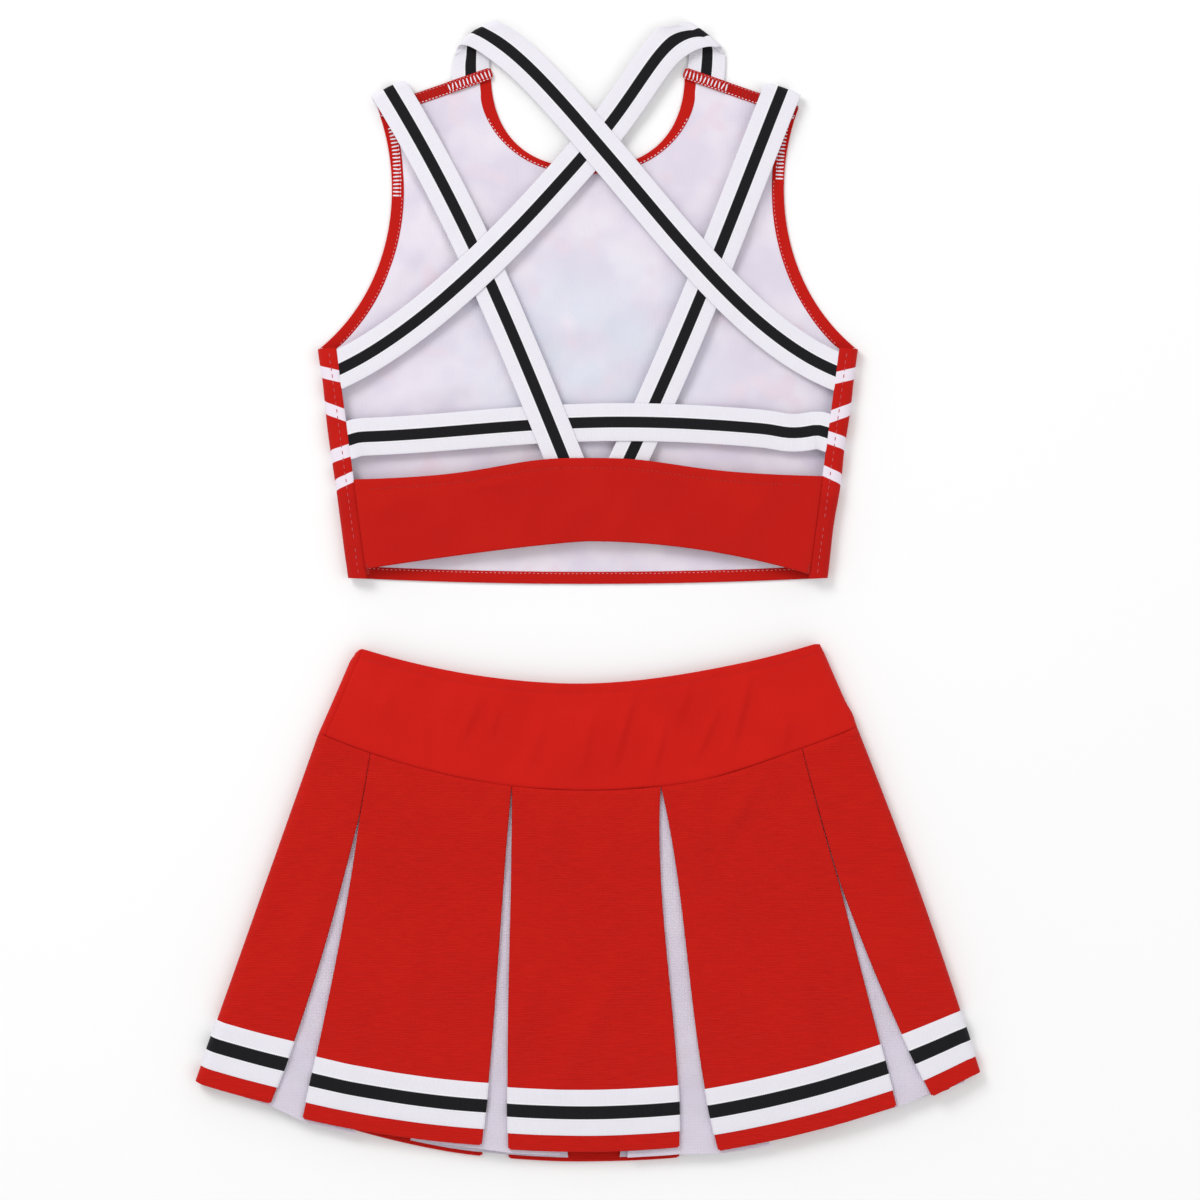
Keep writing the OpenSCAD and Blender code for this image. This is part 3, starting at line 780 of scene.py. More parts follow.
# Each strap as its curve over the back, its crossings (X, Y, rise), the height of its sewn end and the length
# over which it gets there
UNDER_WRAP, UNDER_BAND = LOFT - 1.9, LOFT - 2.7
STRAPS = {
    "left_cross_strap": (
        [(-68, 367.5), (21, 301), (80, 178), (167, 144)],
        [(5, 297, WEAVE), (80, 209, WEAVE)], UNDER_WRAP, 25),
    "right_cross_strap": (
        [(66, 367.5), (15, 312), (-76, 187), (-167, 145)],
        [(5, 297, -WEAVE), (-70, 216, WEAVE)], UNDER_WRAP, 25),
    "left_outer_strap": (
        [(-130, 330), (-80, 248), (-48, 168), (-12, 79)],
        [(-70, 216, -WEAVE), (-25, 111, WEAVE)], UNDER_BAND, 14),
    "right_outer_strap": (
        [(127.5, 329.5), (96, 250), (71, 180), (23, 79)],
        [(80, 209, -WEAVE), (38, 112, -WEAVE)], UNDER_BAND, 14),
    "horizontal_strap": (
        [(-161, 102), (-60, 104), (-10, 123), (161, 103)],
        [(-25, 111, -WEAVE), (38, 112, WEAVE)], UNDER_WRAP, 25),
}
# Each fold at a shoulder: the angle of the line that it folds over, how much the webbing slides along it, how
# far its left and right ends round off, the leg's sewn end, and a point that the leg bends towards
FOLDS = {
    "left_cross_strap": (26, 1.0, (5, 1.5), (-77, 335.5), (-77.5, 350)),
    "right_cross_strap": (-36, 0.4, (7, 1.5), (77, 335), (79, 350)),
    "left_outer_strap": (28, 1.0, (1.0, 3.0), (-125.5, 318.5), (-127, 322)),
    "right_outer_strap": (-20, 1.0, (4.0, 1.2), (123.8, 316.5), (124.8, 320)),
}
# The cross straps stand in a wider arc behind the fold: its start, a point that it bends towards, and the
# length of its handle where it meets the strap's own curve
ARCS = {
    "left_cross_strap": ((-70, 369), (-44, 356.5), 42),
    "right_cross_strap": ((73, 368), (49, 371), 54),
}
# Short bends of the horizontal strap at its two ends, as X, drop and width
END_BENDS = {"horizontal_strap": [(-161, 2.8, 7), (152, -2.6, 8), (131, 1.0, 9)]}


def strap_middle(name):
    """The middle line of a strap over the back, from its fold to its end."""
    curve = STRAPS[name][0]
    if name not in ARCS:
        p = cubic(curve, np.linspace(0, 1, 121))
        for x, drop, width in END_BENDS.get(name, []):
            p[:, 1] -= drop * np.exp(-(((p[:, 0] - x) / width) ** 2))
        return p
    start, bend, handle = ARCS[name]
    rest = cubic(curve, np.linspace(0.33, 1, 82))
    joint = rest[0] - handle * directions(rest)[0]
    arc = cubic([start, bend, joint, rest[0]], np.linspace(0, 1, 46))
    return np.concatenate([arc[:-1], rest])


def over_back(p, fold_side, crossings, end_z, ramp):
    """Centres and half-width directions of the webbing over the back, from the fold's half-width on."""
    folded = fold_side is not None
    d = directions(p)
    start = np.hypot(*(p - p[0]).T)
    end = np.hypot(*(p - p[-1]).T)
    near = smooth(1 - (end if folded else np.minimum(start, end)) / ramp)
    lift = sum(rise * smooth((38 - np.hypot(p[:, 0] - x, p[:, 1] - y)) / 14) for x, y, rise in crossings)
    z = (STRAP_Z + lift) * (1 - near) + end_z * near
    sides = np.stack([-d[:, 1], d[:, 0]], axis=1)
    if folded:
        away = smooth(start / 30)[:, None]
        sides = sides * away + fold_side * (1 - away)
    return lying(p, z), lying(sides, 0)


class Turn:
    """The half turn of a strap over its fold line, from the sewn leg below to the webbing above."""

    def __init__(self, middle, angle, slide):
        d = directions(middle)[0]
        self.start = middle[0]
        self.along = np.array([math.cos(math.radians(angle)), math.sin(math.radians(angle))])
        self.leg = 2 * (self.along @ d) * self.along - d
        across = self.leg - (self.along @ self.leg) * self.along
        self.out = across / np.linalg.norm(across)
        self.skew = (self.along @ self.leg) / np.linalg.norm(across)
        self.r = (STRAP_Z - LEG_Z) / 2
        self.slide = self.r * self.skew * slide
        # the webbing stands up in its loop and looks narrower than a flat fold
        self.side = self.along * min(math.hypot(1, self.skew), 1.15)

    def centres(self, a):
        """Points at the angles a, in radians, from 0 at the leg to pi above."""
        back = self.start - self.along * ((PI - a) * self.slide)[:, None]
        return lying(back + self.out * (self.r * np.sin(a))[:, None], LEG_Z + self.r * (1 - np.cos(a)))

    def leg_line(self, sewn_end, bend):
        """Centres and half-width directions of the leg, from its end, cut along the shoulder, to the turn."""
        foot = self.centres(np.array([0.0]))[0, :2]
        t = np.linspace(0, 1, 22)
        points = cubic([sewn_end, bend, foot - 5 * self.leg, foot], t)
        d = directions(points)
        n = np.stack([d[:, 1], -d[:, 0]], axis=1)
        shoulder = np.array([1, -SHOULDER_SLOPE * np.sign(sewn_end[0])])
        lean = (shoulder @ d[0]) / (shoulder @ n[0]) * (1 - smooth(2 * t))
        at_fold = smooth(2 * t - 1)[:, None]
        sides = (n + lean[:, None] * d) * (1 - at_fold) + self.side * at_fold
        return lying(points, LEG_Z)[:-1], lying(sides, 0)[:-1]

    def round_corners(self, points, left, right):
        """Draws the two ends of the fold back from its crest, less and less along the webbing."""
        q = points[:, :2] - self.start
        across = q @ self.along
        depth = smooth((q @ self.out + 16) / (16 + self.r))
        half = STRAP_W / 2 * np.linalg.norm(self.side)
        pull = left * smooth(-across / half - 0.45) + right * smooth(across / half - 0.45)
        points[:, :2] -= (pull * depth)[:, None] * self.out
        return points


def strap(name):
    crossings, end_z, ramp = STRAPS[name][1:]
    middle = strap_middle(name)
    if name in FOLDS:
        angle, slide, corners, sewn_end, bend = FOLDS[name]
        turn = Turn(middle, angle, slide)
        above, above_sides = over_back(middle, turn.side, crossings, end_z, ramp)
        a = np.linspace(0, PI, 25)[:-1]
        round_sides = np.tile(np.append(turn.side, 0), (len(a), 1))
        below, below_sides = turn.leg_line(sewn_end, bend)
        centres = np.concatenate([below, turn.centres(a), above])
        sides = np.concatenate([below_sides, round_sides, above_sides])
    else:
        centres, sides = over_back(middle, None, crossings, end_z, ramp)
    ups = unit(np.cross(np.gradient(centres, axis=0), sides))
    obj = swept(f"{name}_webbing", centres, sides, ups, flat_section(STRAP_W, STRAP_T), WEBBING)
    if name in FOLDS:
        points = turn.round_corners(np.array([v.co for v in obj.data.vertices]) / MM, *corners)
        obj.data.vertices.foreach_set("co", (points * MM).ravel())
    return place(obj, "top", "webbing", name)


# ---- crop top: shoulder allowances ----

def facing_frame(side):
    """Inner end, direction and inward direction of a shoulder's allowance."""
    along = np.array([1, -SHOULDER_SLOPE]) / math.hypot(1, SHOULDER_SLOPE)
    inner = np.array([NECK_HALF, SHOULDER]) + (BINDING - 2) * along
    inwards = np.array([along[1], -along[0]])
    flip = np.array([side, 1])
    return inner * flip, along * flip, inwards * flip


def facing_height(side, s):
    """Height of the middle of the allowance: it climbs over the two sewn legs."""
    inner, along, inwards = facing_frame(side)
    z = 0 * s
    for name in ("cross_strap", "outer_strap"):
        at = (np.array(FOLDS[("left_" if side < 0 else "right_") + name][3]) - inner) @ along
        z = np.maximum(z, smooth((17 - np.abs(s - at)) / 4))
    return 1.6 + 1.15 * z


def shoulder_facing(name):
    side = 1 if name == "right" else -1
    inner, along, inwards = facing_frame(side)
    s = np.linspace(-5.8, 73, 110)
    depth = np.array([-0.9, -0.4, 0.6, 2.0, 3.4, 4.8, 6.0, 6.8])
    gs, gd = np.meshgrid(s, depth, indexing="ij")
    # its inner end is rounded off
    gs = gs + 1.6 * np.exp(-(((gs + 5.8) / 2.0) ** 2)) * (np.abs(gd - 2.9) / 3.8) ** 3
    flat = inner + gs[..., None] * along + gd[..., None] * inwards
    z = facing_height(side, gs) - 0.25 * smooth(1 - gd / 1.0) - 0.12 * smooth((gd - 6.5) / 1.5)
    patches = [patch(flat[..., 0], flat[..., 1], z, gs, gd)]
    obj = cloth(f"{name}_shoulder_facing_knit", patches, 0.5, [DEEP], flip=side < 0)

    def sew(part, depth, ends, pitch, size, material, seed, across=False):
        t = np.linspace(*ends, 80)
        line = lying(inner + t[:, None] * along + depth * inwards, facing_height(side, t) + 0.42)
        return stitch_line(f"{name}_shoulder_{part}", line, pitch, size, material, seed, across, 0.08)

    return place(obj, "top", "red_cloth", f"{name}_shoulder_facing"), [
        sew("overlock", 3.0, (-4, 24), 2.3, (5.6, 1.0, 0.7), WHITE_THREAD, 14, across=True),
        sew("overlock_outer", 3.0, (25, 72), 2.4, (5.2, 0.7, 0.4), RED_THREAD, 15, across=True),
        sew("overlock_edge", 6.0, (-4, 72), 2.3, (1.5, 0.6, 0.5), WHITE_THREAD, 16),
        sew("overlock_inner_edge", 0.0, (-4, 72), 2.3, (1.4, 0.5, 0.45), PINK_THREAD, 17),
    ]


# ---- crop top: back band ----

BAND_MID, BAND_HALF = LOFT - 1.05, 0.7  # middle height of the band, and from there to each layer
BAND_DENTS = [
    ((-75, 69), (-50, 72), 3, 0.9), ((-20, 40), (6, 62), 9, 1.1), ((16, 36), (30, 66), 8, 1.0),
    ((-44, 34), (-36, 62), 8, 0.9), ((58, 40), (74, 58), 9, 0.8), ((-110, 30), (-92, 56), 10, 0.8),
    ((100, 40), (118, 66), 8, 0.7), ((-140, 52), (-128, 60), 6, 0.6),
]


def band_relief(x, y):
    below = band_top(x) - y
    seam = 0.5 * np.exp(-(((below - 6) / 1.0) ** 2))
    pucker = 0.3 * np.sin(x / 2.1 + 2 * np.sin(x / 17)) * np.exp(-(((below - 5) / 4) ** 2))
    relief = 1.5 * creases(x, y, BAND_DENTS) + swell(x, y, 41, 48, 0.25) + pucker - seam
    return np.maximum(relief + 0.35, -0.2)


def band_x(s, y):
    return s * (top_fold_x(y) - SEAM_IN - 0.2)


def back_band():
    s = np.linspace(-1, 1, 170)
    down = np.linspace(0.01, 0.99, 30)
    bend = np.linspace(0, PI, 9)[1:-1]
    # round the tube: down the outer layer, round the bottom fold, up the inner layer, round the top edge
    f = np.concatenate([down, np.full(7, 0.99), down[::-1], np.full(7, 0.01)])
    out = np.concatenate([0 * down, -BAND_HALF * np.sin(bend), 0 * down, BAND_HALF * np.sin(bend)])
    level = np.concatenate([0 * down + 1, np.cos(bend), 0 * down - 1, -np.cos(bend)])
    f, out, level = (np.append(a, a[0]) for a in (f, out, level))
    gs, gf = np.meshgrid(s, f, indexing="ij")
    # X and Y depend on each other at the slanting ends, and settle in three rounds
    x = gs * (CHEST - SEAM_IN - 10)
    for _ in range(3):
        y = band_top(x) + (band_bottom(x) - band_top(x)) * gf
        x = band_x(gs, y)
    y = y + out
    at_seam = smooth((np.abs(gs) - 0.985) / 0.015)
    relief = band_relief(x, y) * smooth((1 - np.abs(gs)) / 0.04)
    relief = np.where(level > 0, relief, 0.3 * np.maximum(relief, 0))
    z = BAND_MID + level * BAND_HALF * (1 - 0.5 * at_seam) + relief - 0.5 * at_seam
    obj = cloth("back_band_knit", [patch(x, y, z)], CLOTH, [PLAIN], flip=True)
    x = np.linspace(-142, 142, 200)
    y = band_top(x) - 6
    seam = lying(np.stack([x, y], axis=1), BAND_MID + BAND_HALF + band_relief(x, y) + 0.42)
    stitch = stitch_line("back_band_topstitch", seam, 3.0, (2.0, 0.55, 0.4), RED_THREAD, 18, jitter=0.05)
    return place(obj, "top", "red_cloth", "back_band"), [stitch]


def band_elastic():
    x = np.linspace(-150, 150, 120)
    line = lying(np.stack([x, band_top(x) - 3.6], axis=1), BAND_MID - 0.1)
    sides = np.tile([0.0, 1.0, 0.0], (len(x), 1))
    ups = np.tile([0.0, 0.0, 1.0], (len(x), 1))
    obj = swept("band_elastic_strip", line, sides, ups, flat_section(5, 0.35), ELASTIC)
    return place(obj, "top", "elastic", "band_elastic")


def side_stitches():
    """Dashed stitches down each side wrap, and the tacks at the lower corners of the band."""
    def line(side, y, from_fold, z):
        return lying(np.stack([side * (top_fold_x(y) - from_fold), y], axis=1), z)

    made = []
    for name, side in (("left", -1), ("right", 1)):
        seam = line(side, np.linspace(14, 156, 60), SEAM_IN - 5, FOLD_R + WRAP_UP + 0.36)
        tack = line(side, np.linspace(12.5, 18, 8), SEAM_IN + 1.5, BAND_MID + BAND_HALF + 0.2)
        for part, at, pitch, size, material, seed, across, jitter in (
                ("side_seam_stitches", seam, 4.4, (3.0, 0.6, 0.5), SEAM_THREAD, 19, False, 0.08),
                ("band_bar_tack", tack, 0.8, (2.6, 0.5, 0.4), RED_THREAD, 20, True, 0.05)):
            made.append(stitch_line(f"{name}_{part}", at, pitch, size, material, seed, across, jitter))
    return made


# ---- skirt: waistband ----

RING_X, RING_Z = 5.6, 5.4       # radii of the waistband's side folds, to the middle of the cloth
BACK_SEAM = 2 * PI - 0.27       # the left seam lies this far round, just inside the outline
CASING = 9                      # height of the turned-in top edge
WAIST_CREASES = [
    ((30, -66), (15, -115), 3.2, 1.6), ((50, -86), (42, -120), 3, 1.5), ((105, -58), (94, -102), 3.2, 1.8),
    ((84, -78), (70, -110), 3, 1.4), ((129, -85), (129, -104), 3, 1.1), ((-73, -72), (-85, -99), 3.5, 1.2),
    ((-61, -76), (-65, -94), 3, 1.1), ((-109, -85), (-107, -112), 3.5, 1.2), ((2, -80), (-6, -118), 4, 1.1),
    ((-30, -84), (-40, -116), 4, 1.0), ((66, -60), (58, -84), 3.5, 1.0), ((-130, -60), (-136, -84), 5, 1.0),
]


def waist_relief(x, y):
    below = waist_y(x) - y
    groove = 0.5 * np.exp(-(((below - 6) / 1.0) ** 2))
    pucker = 0.24 * np.sin(x / 2.3 + 2 * np.sin(x / 15)) * np.exp(-(((below - 5) / 4) ** 2))
    return 1.6 * creases(x, y, WAIST_CREASES) + swell(x, y, 61, 44, 0.3) + pucker - groove


def round_ring(x, z):
    """Distance along one row of a sheet that lies in X and Z."""
    return np.concatenate([[0], np.cumsum(np.hypot(np.diff(x), np.diff(z)))])


def waistband(name, s, turn, layer):
    """Half of the waistband. Its columns have s along the flat layers and turn round the side folds."""
    bend = np.linspace(0, PI, 8)[1:-1]
    height = 66.0               # of the waistband on the flat
    # rows from the edge of the casing over the top edge and down to the yoke seam
    casing, flat = np.linspace(CASING, 0.9, 6), np.linspace(0.9, height - 3, 46)
    down = np.concatenate([casing, 0.65 - 0.65 * np.sin(bend), flat, height - np.array([2, 1.2, 0.6, 0])])
    inside = np.concatenate([0 * casing + 1.3, 0.65 + 0.65 * np.cos(bend), 0 * flat, [0.08, 0.3, 0.75, 1.3]])
    f = (down / height)[:, None]
    half = WAIST_HALF + (YOKE_HALF - WAIST_HALF) * f
    half = half + 0.8 * np.exp(-(((f - 0.84) / 0.1) ** 2)) * np.maximum(s, 0) ** 2
    from_seam = np.minimum(np.abs(turn - BACK_SEAM), np.abs(turn + 2 * PI - BACK_SEAM)) * RING_X
    at_yoke = (down > height - 3)[:, None]
    inside = inside[:, None] * np.where(at_yoke, np.abs(np.cos(turn)), 1) + 0.9 * smooth(1 - from_seam / 1.4)
    x = s * (half - FOLD_R) + (RING_X - inside) * np.sin(turn)
    y = (1 - f) * waist_y(x) + f * yoke_y(x)
    corner = (2.1 - 1.2 * s) * smooth((np.abs(x) - WAIST_HALF + 6) / 6) ** 2
    y = y - corner * smooth(1 - down / 12)[:, None]
    on_face = smooth(np.cos(turn) * 4 - 3) * smooth((down[:, None] - 1) / 3)
    z = FOLD_R + (RING_Z - inside) * np.cos(turn) + on_face * waist_relief(x, y)
    row = 20                    # a row on the flat of the band, which the UVs follow
    u = round_ring(x[row], z[row]) + 0 * x
    obj = cloth(f"{name}_knit", [patch(x, y, z, u, 0 * x - down[:, None])], CLOTH, [WAIST_RED_PAINTED_LIGHT], flip=True)
    if layer == FRONT:
        return place(obj, "skirt", "red_cloth", name)
    return place_flap(obj, "red_cloth", name)


def waistbands():
    flat = np.linspace(-1, 1, 170)
    quarter = np.linspace(0, PI / 2, 9)[1:]
    s = np.concatenate([np.full(4, -1.0), flat, np.ones(8)])
    turn = np.concatenate([np.linspace(BACK_SEAM, 2 * PI, 5)[:-1] - 2 * PI, 0 * flat, quarter])
    back = waistband("waistband_back", s, turn, BACK)
    rest = np.linspace(PI, BACK_SEAM, 18)[1:]
    s = np.concatenate([np.ones(8), -flat, np.full(17, -1.0)])
    turn = np.concatenate([quarter - quarter[0] + PI / 2, np.full(170, PI), rest])
    return back, waistband("waistband_front", s, turn, FRONT)


def waist_elastic():
    """Two flat lengths inside the casing, one in each half of the waistband."""
    x, down = np.meshgrid(np.linspace(-143, 143, 140), np.linspace(1.6, 6.4, 4), indexing="ij")
    y = waist_y(x) - down
    patches = [patch(x, y, z, x, down) for z in (LOFT - 1.25 + waist_relief(x, y), 1.25 + 0 * x)]
    return place(cloth("waist_elastic_strips", patches, 0.45, [ELASTIC]), "skirt", "elastic", "waist_elastic")


def waist_topstitch():
    x = np.linspace(-147, 148, 200)
    y = waist_y(x) - 6
    seam = lying(np.stack([x, y], axis=1), FOLD_R + RING_Z + waist_relief(x, y) + 0.42)
    return stitch_line("waist_topstitch", seam, 3.0, (2.0, 0.5, 0.35), RED_THREAD, 62, False, 0.05, "skirt")


# ---- skirt: panels, trims and pleat inserts ----

SKIRT_MID, SKIRT_HALF = (BACK_Z + FRONT_Z) / 2, (BACK_Z - FRONT_Z) / 2
EDGE_R, HEM_R = 0.85, 0.5       # radii of the pleat edges and of the hem's fold
EDGE_RETURN, HEM_RETURN = 11, 9
SLIT_GAP = 0.32                 # half width of a closed pleat at the yoke seam
TRIM_OUT = 0.55                 # how far the trim stands off the panel
BACK_FOLDS = [
    ((-131, -113), (-106, -168), 7, 1.9), ((111, -118), (88, -162), 7, 2.0),
    ((20, -246), (-18, -322), 10, 1.9), ((-38, -254), (-47, -300), 8, 1.5),
    ((-170, -180), (-196, -250), 9, 1.5), ((196, -170), (218, -246), 9, 1.7),
    ((130, -230), (150, -318), 10, 1.7), ((-110, -220), (-128, -310), 10, 1.5),
    ((-22, -138), (-26, -190), 8, 1.0),
    ((70, -136), (74, -180), 7, 1.2), ((10, -150), (18, -215), 9, 1.0), ((-150, -270), (-160, -330), 8, 1.0),
]


def back_relief(x, y):
    """Height of the back's soft folds, which all the layers of the back share."""
    free = smooth((yoke_y(x) - y) / 22)
    return free * (1.5 * creases(x, y, BACK_FOLDS) + swell(x, y, 71, 95, 0.6) + swell(x, y, 72, 36, 0.24))


def front_relief(x, y):
    free = smooth((yoke_y(x) - y) / 22)
    return free * np.maximum(swell(x, y, 73, 80, 0.6) + 0.5, -0.2)


# How each slit opens on its way down, as four numbers of a cubic. It stays closed while that is below zero.
OPENINGS = [(-5, 6, 8, 21.4), (0, 8, 6, 18), (0, 24, 4, 26), (-8, -2, 5, 23.5)]


def slit_line(k, side, gap=0.0):
    """X of a slit's left (-1) or right (1) edge as a function of the way from the yoke, 0, to the hem, 1."""
    middle = [(left + right) / 2 for left, right in zip(*SLITS[k])]
    bend = 2 * middle[1] - (middle[0] + middle[2]) / 2
    c = OPENINGS[k]

    def line(f):
        centre = (1 - f) ** 2 * middle[0] + 2 * (1 - f) * f * bend + f * f * middle[2]
        wide = (1 - f) ** 3 * c[0] + 3 * (1 - f) ** 2 * f * c[1] + 3 * (1 - f) * f * f * c[2] + f**3 * c[3]
        return centre + side * (np.maximum(wide, 0) / 2 + (1 - f) * gap)

    return line


def fold_line(f):
    return YOKE_HALF + (HEM_HALF - YOKE_HALF) * f - FOLD_R


def under_columns(side, reach=EDGE_RETURN):
    """Columns that turn under at a pleat edge: their angle, side and distance back."""
    angle = np.concatenate([np.linspace(0, PI, 8)[1:], np.full(5, PI)])
    back = np.concatenate([np.zeros(7), np.linspace(0, reach, 6)[1:]])
    return angle, np.full(12, float(side)), back


class Columns:
    """Columns of a skirt sheet from left to right.

    Each has c between the sheet's edges, turn round the side fold, and the angle, side and distance back
    where it turns under at a pleat edge.
    """

    def __init__(self, count, two_layers=False, reach=EDGE_RETURN):
        main = np.linspace(0, 1, count)
        angle, side, back = under_columns(-1, reach)
        none = np.zeros(count)
        if two_layers:
            arc = np.linspace(0, PI, 18)[1:-1]
            flat = 0 * arc
            self.c = np.concatenate([0 * angle, main, flat + 1, main[::-1], 0 * angle])
            self.turn = np.concatenate([0 * angle, none, arc, none + PI, 0 * angle + PI])
            middle, last = np.concatenate([none, flat, none]), side
        else:
            self.c = np.concatenate([0 * angle, main, 0 * angle + 1])
            self.turn = 0 * self.c
            middle, last = none, -side
        self.angle = np.concatenate([angle[::-1], middle, angle])
        self.side = np.concatenate([side, middle, last])
        self.back = np.concatenate([back[::-1], middle, back])

    def only_main(self):
        """The same columns without those that turn under."""
        keep = self.angle == 0
        part = object.__new__(Columns)
        for key, values in vars(self).items():
            setattr(part, key, values[keep])
        return part


def skirt_patch(left, right, cols, f, up, inside, layer, flip=1, lift=0.0, from_hem=None, raised=(0, 0)):
    """Points and UVs of a sheet between two edges.

    Each row has its way down or its distance from the hem, a distance up and one inwards.
    """
    f, up, inside = (np.asarray(v, float)[:, None] for v in (f, up, inside))
    out = EDGE_R + lift

    def x_at(way):
        turned_under = cols.side * (out * np.sin(cols.angle) - cols.back)
        return left(way) * (1 - cols.c) + right(way) * cols.c + turned_under

    reach = WRAP_OUT * np.sin(cols.turn)
    top = yoke_y((x_at(0.0) + reach) * flip)
    hem = hem_y((x_at(1.0) + reach) * flip, layer) + raised[0] * (1 - cols.c) + raised[1] * cols.c
    if from_hem is not None:
        f = 1 - np.asarray(from_hem)[:, None] / (top - hem)
    turn = cols.turn if layer == BACK else cols.turn + PI
    inside = inside * np.where(f < 0.02, np.abs(np.cos(turn)), 1)
    inwards = np.where(cols.angle > 0, EDGE_R - out * np.cos(cols.angle), -lift) + inside
    x = x_at(f - up / (top - hem)) + (WRAP_OUT - inwards) * np.sin(cols.turn)
    y = (1 - f) * top + f * hem + up
    x = x * flip
    relief = np.where(np.cos(turn) > 0, back_relief(x, y), front_relief(x, y))
    z = SKIRT_MID + (SKIRT_HALF - inwards) * np.cos(turn) + np.abs(np.cos(turn)) * relief
    return patch(x, y, z, round_ring(x[-1], z[-1]) + 0 * x)


def panel_edges(k):
    """Edges of the flat panel between slit k - 1 and slit k, moved in by the radius of the pleat edges."""
    left, right = slit_line(k - 1, 1, SLIT_GAP), slit_line(k, -1, SLIT_GAP)
    return (lambda f: left(f) + EDGE_R), (lambda f: right(f) - EDGE_R)


def side_edges(name):
    """Edges of a side panel in the right-hand frame: its slit, and where its fold starts."""
    if name == "right":
        line, bulge = slit_line(3, 1, SLIT_GAP), 2.6
        return (lambda f: line(f) + EDGE_R), (lambda f: fold_line(f) + bulge * np.sin(PI * np.clip(f, 0, 1)))
    line = slit_line(0, -1, SLIT_GAP)
    return (lambda f: -line(f) + EDGE_R), fold_line


# How far the hem of each panel lies above the common curve, at its left and right edge; for the side panels
# at the slit and at the fold
RAISED = {
    "left_side": (3.0, 0.0), "right_side": (2.1, 6.0),
    "back_left": (-0.6, 4.4), "back_centre": (3.2, 3.8), "back_right": (-1.4, 2.9),
    "front_right": (0.6, 3.6),
}


def panel(name, edges, cols, layer, flip=1):
    """A panel of ribbed cloth with its pleat edges turned under and its hem turned up."""
    raised = RAISED.get(name, (0, 0))
    f = np.concatenate([[0, 0.003, 0.006, 0.010], np.linspace(0.016, 1, 92)])
    curl = np.concatenate([[1.3, 0.8, 0.35, 0.08], np.zeros(92)])
    up = HEM_R * smooth((f - 0.95) / 0.05)
    bend = np.linspace(0, PI, 8)
    hem_up = np.concatenate([HEM_R - HEM_R * np.sin(bend), HEM_R + np.linspace(0, HEM_RETURN, 5)[1:]])
    hem_in = np.concatenate([HEM_R * (1 - np.cos(bend)), np.full(4, 2 * HEM_R)])
    patches = [
        skirt_patch(*edges, cols, f, up, curl, layer, flip, raised=raised),
        skirt_patch(*edges, cols.only_main(), np.ones(12), hem_up, hem_in, layer, flip, raised=raised),
    ]
    return cloth(f"{name}_panel_cloth", patches, CLOTH, [RIBBED], flip=(flip > 0) == (layer == BACK))


def trim(name, edges, cols, layer, flip=1):
    """The striped trim, sewn on round the pleat edges."""
    across = np.array([0, 0.5, 1.2, 4, 7, 10, 13, 17, 20, 23, 26, 28.8, 29.5, 30])
    sunk = np.interp(across, [0, 1.2, 28.8, 30], [0.3, 0, 0, 0.3])
    none = 0 * across
    raised = RAISED.get(name, (0, 0))
    from_hem = TRIM_LIFT + across
    points, uv = skirt_patch(*edges, cols, none, none, sunk, layer, flip, TRIM_OUT, from_hem, raised)
    uv[..., 1] = across[:, None] * MM
    return cloth(f"{name}_trim_webbing", [(points, uv)], 0.5, [TRIM], flip=(flip > 0) != (layer == BACK))


INSERT_TOP = 12                 # reach under the panels at the yoke seam
# How far each insert reaches under the panels at the hem, to its left and right
INSERT_REACH = {BACK: [(34, 34)] * 4, FRONT: [(34, 39), (47, 39), (39, 34), (34, 22)]}
INSERT_FOLDS = [
    ((71, -250), (76, -318), 4, 0.9), ((-60, -280), (-62, -340), 4, 0.5),
    ((-196, -270), (-200, -330), 4, 0.6), ((205, -280), (214, -336), 4, 0.7),
    ((84, -300), (82, -350), 3, 0.5), ((-64, -230), (-61, -300), 4, 0.5),
]
# How far each back insert's hem lies above the common curve, at the slit's left and right edge
INSERT_RAISED = [(2.7, -1.2), (3.0, 2.0), (0.3, -2.2), (3.5, 5.8)]


def pleat_insert(name, k, layer):
    reach = INSERT_REACH[layer][k]
    left, right = slit_line(k, -1), slit_line(k, 1)
    limit = HEM_HALF - FOLD_R - 4
    hang = 1.6 if layer == BACK else -2.6
    f, c = np.linspace(0, 1, 94)[:, None], np.linspace(0, 1, 46)
    first = np.maximum(left(f) - INSERT_TOP * (1 - f) - reach[0] * f, 30 * (1 - f) - limit)
    last = np.minimum(right(f) + INSERT_TOP * (1 - f) + reach[1] * f, limit - 30 * (1 - f))
    x = first * (1 - c) + last * c
    hem = hem_y(x, layer)
    if layer == BACK:
        hem = hem + np.interp(x, [left(1), right(1)], INSERT_RAISED[k])
    y = (1 - f) * yoke_y(x) + f * (hem - hang)
    y = np.minimum(y, yoke_y(x) - 0.5)
    from_hem = y - hem + hang
    hem_line = 0.22 * np.exp(-(((from_hem - 5) / 0.5) ** 2)) - 0.1 * smooth((5 - from_hem) / 0.6)
    own = creases(x, y, INSERT_FOLDS) + swell(x, y, 80 + k, 22, 0.25) * smooth((yoke_y(x) - y) / 60)
    z = PLEAT_Z[layer] - hem_line
    if layer == BACK:
        z = z + back_relief(x, y) + np.clip(own, -0.6, 0.45)
    else:
        z = z + front_relief(x, y) + np.clip(own, -0.3, 0.6)
    return cloth(f"{name}_cloth", [patch(x, y, z)], 0.4, [PLEAT], flip=True)


# Stretches for the outer back inserts, between the side panel and the back panel: (start, end)
OUTER_OPENING = {
    "back_outer_left_pleat": ((-0.1777, -0.2193, 0), (-0.1543, -0.2247, 0)),
    "back_outer_right_pleat": ((0.1874, -0.2184, 0), (0.1646, -0.2256, 0)),
}


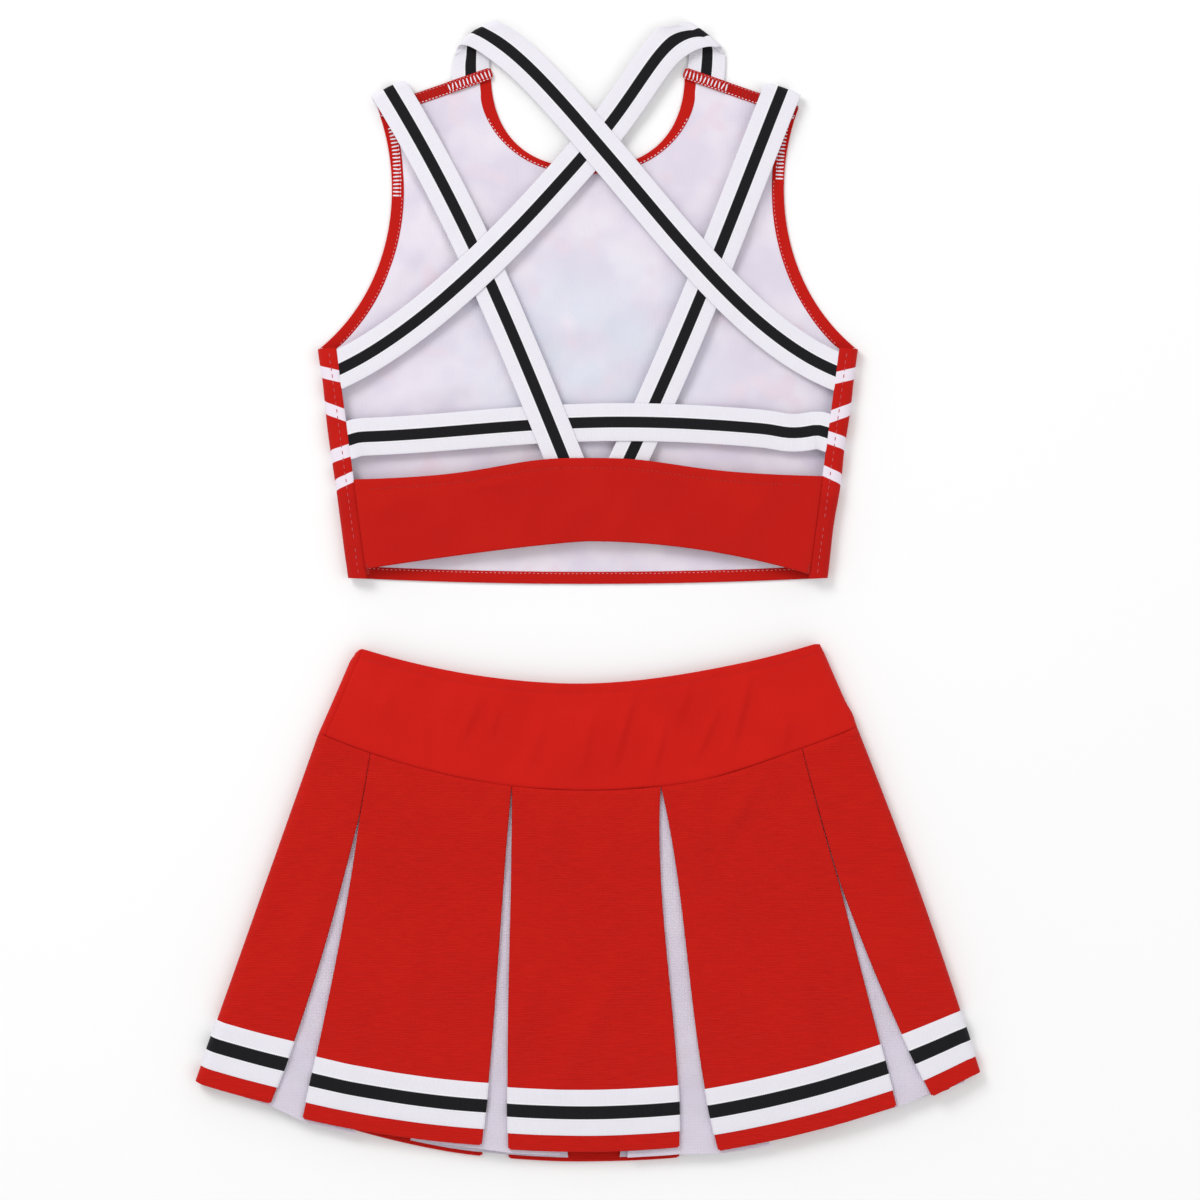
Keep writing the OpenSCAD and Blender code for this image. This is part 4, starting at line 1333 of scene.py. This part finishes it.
def skirt():
    """All panels, trims and inserts by name."""
    made = {}
    for name, flip in (("right", 1), ("left", -1)):
        edges, key = side_edges(name), f"{name}_side"
        piece = panel(key, edges, Columns(SIDE_COLS, True), BACK, flip)
        webbing = trim(key, edges, Columns(SIDE_COLS, True, TRIM_RETURN), BACK, flip)
        made[f"{key}_panel"] = place(piece, "skirt", "red_cloth", f"{key}_panel")
        made[f"{key}_trim"] = place(webbing, "skirt", "webbing", f"{key}_trim")
    for layer, prefix in ((BACK, "back"), (FRONT, "front")):
        for k, place_name in ((1, "left"), (2, "centre"), (3, "right")):
            key = f"{prefix}_{place_name}"
            piece = panel(key, panel_edges(k), Columns(PANEL_COLS), layer)
            if layer == BACK:
                made[f"{key}_panel"] = place_flap(piece, "red_cloth", f"{key}_panel")
            else:
                made[f"{key}_panel"] = place(piece, "skirt", "red_cloth", f"{key}_panel")
            webbing = trim(key, panel_edges(k), Columns(PANEL_COLS, reach=TRIM_RETURN), layer)
            body = "skirt_back" if layer == BACK else "skirt"
            made[f"{key}_trim"] = place(webbing, body, "webbing", f"{key}_trim")
        for k, place_name in enumerate(("outer_left", "inner_left", "inner_right", "outer_right")):
            name = f"{prefix}_{place_name}_pleat"
            piece = pleat_insert(name, k, layer)
            if layer == BACK:
                start, end = OUTER_OPENING.get(name, (FLAP_START, FLAP_END))
                made[name] = place_flap(piece, "pleat_cloth", name, start=start, end=end)
            else:
                made[name] = place(piece, "skirt", "pleat_cloth", name)
    return made


# ---- the scene ----

def floor_and_light():
    size = 4.0
    mesh = bpy.data.meshes.new("floor")
    corners = [(-size, -size, 0), (size, -size, 0), (size, size, 0), (-size, size, 0)]
    mesh.from_pydata(corners, [], [(0, 1, 2, 3)])
    floor = bpy.data.objects.new("floor", mesh)
    bpy.context.scene.collection.objects.link(floor)
    material = bpy.data.materials.new("white_floor")
    material.use_nodes = True
    shader = material.node_tree.nodes["Principled BSDF"]
    shader.inputs["Base Color"].default_value = (0.93, 0.93, 0.93, 1)
    shader.inputs["Roughness"].default_value = 0.9
    mesh.materials.append(material)

    world = bpy.data.worlds.new("studio")
    world.use_nodes = True
    sky = world.node_tree.nodes["Background"]
    sky.inputs["Color"].default_value = (1, 1, 1, 1)
    sky.inputs["Strength"].default_value = 0.72
    bpy.context.scene.world = world

    lights = [("key", (-1.4, 1.6, 2.2), 36, 1.2), ("fill", (1.8, -0.6, 2.6), 14, 2.0)]
    for name, place_at, power, width in lights:
        light = bpy.data.lights.new(name, "AREA")
        light.energy = power
        light.size = width
        obj = bpy.data.objects.new(name, light)
        obj.location = place_at
        x, y, z = place_at
        obj.rotation_euler = (math.atan2(math.hypot(x, y), z), 0, math.atan2(-y, -x) - PI / 2)
        bpy.context.scene.collection.objects.link(obj)


def camera():
    """Straight above, with the whole uniform in a square picture 792 mm wide."""
    distance, shown, sensor = 3.0, 0.792, 36
    data = bpy.data.cameras.new("camera")
    data.sensor_width = sensor
    data.lens = sensor * distance / shown
    obj = bpy.data.objects.new("camera", data)
    obj.location = (0.008, -0.005, distance)
    bpy.context.scene.collection.objects.link(obj)
    bpy.context.scene.camera = obj


camera()
floor_and_light()
bpy.context.scene.view_settings.view_transform = "Standard"

front = front_panel()
neck, neck_stitches = neck_binding()
bindings = {name: armhole_binding(name) for name in ("left", "right")}
hem_facing, hem_stitches = front_hem_facing()
straps = {name: strap(name) for name in STRAPS}
facings = {name: shoulder_facing(name) for name in ("left", "right")}
band, band_stitches = back_band()
elastic = band_elastic()
wrap_stitches = side_stitches()
waist_back, waist_front = waistbands()
waist_strips = waist_elastic()
waist_stitches = waist_topstitch()
skirt_pieces = skirt()

# ---- the pieces that lie on the front ----


on_front = [neck, *neck_stitches, hem_facing, *hem_stitches, *wrap_stitches]
for edge, rows in [*bindings.values(), *facings.values()]:
    on_front += [edge, *rows]
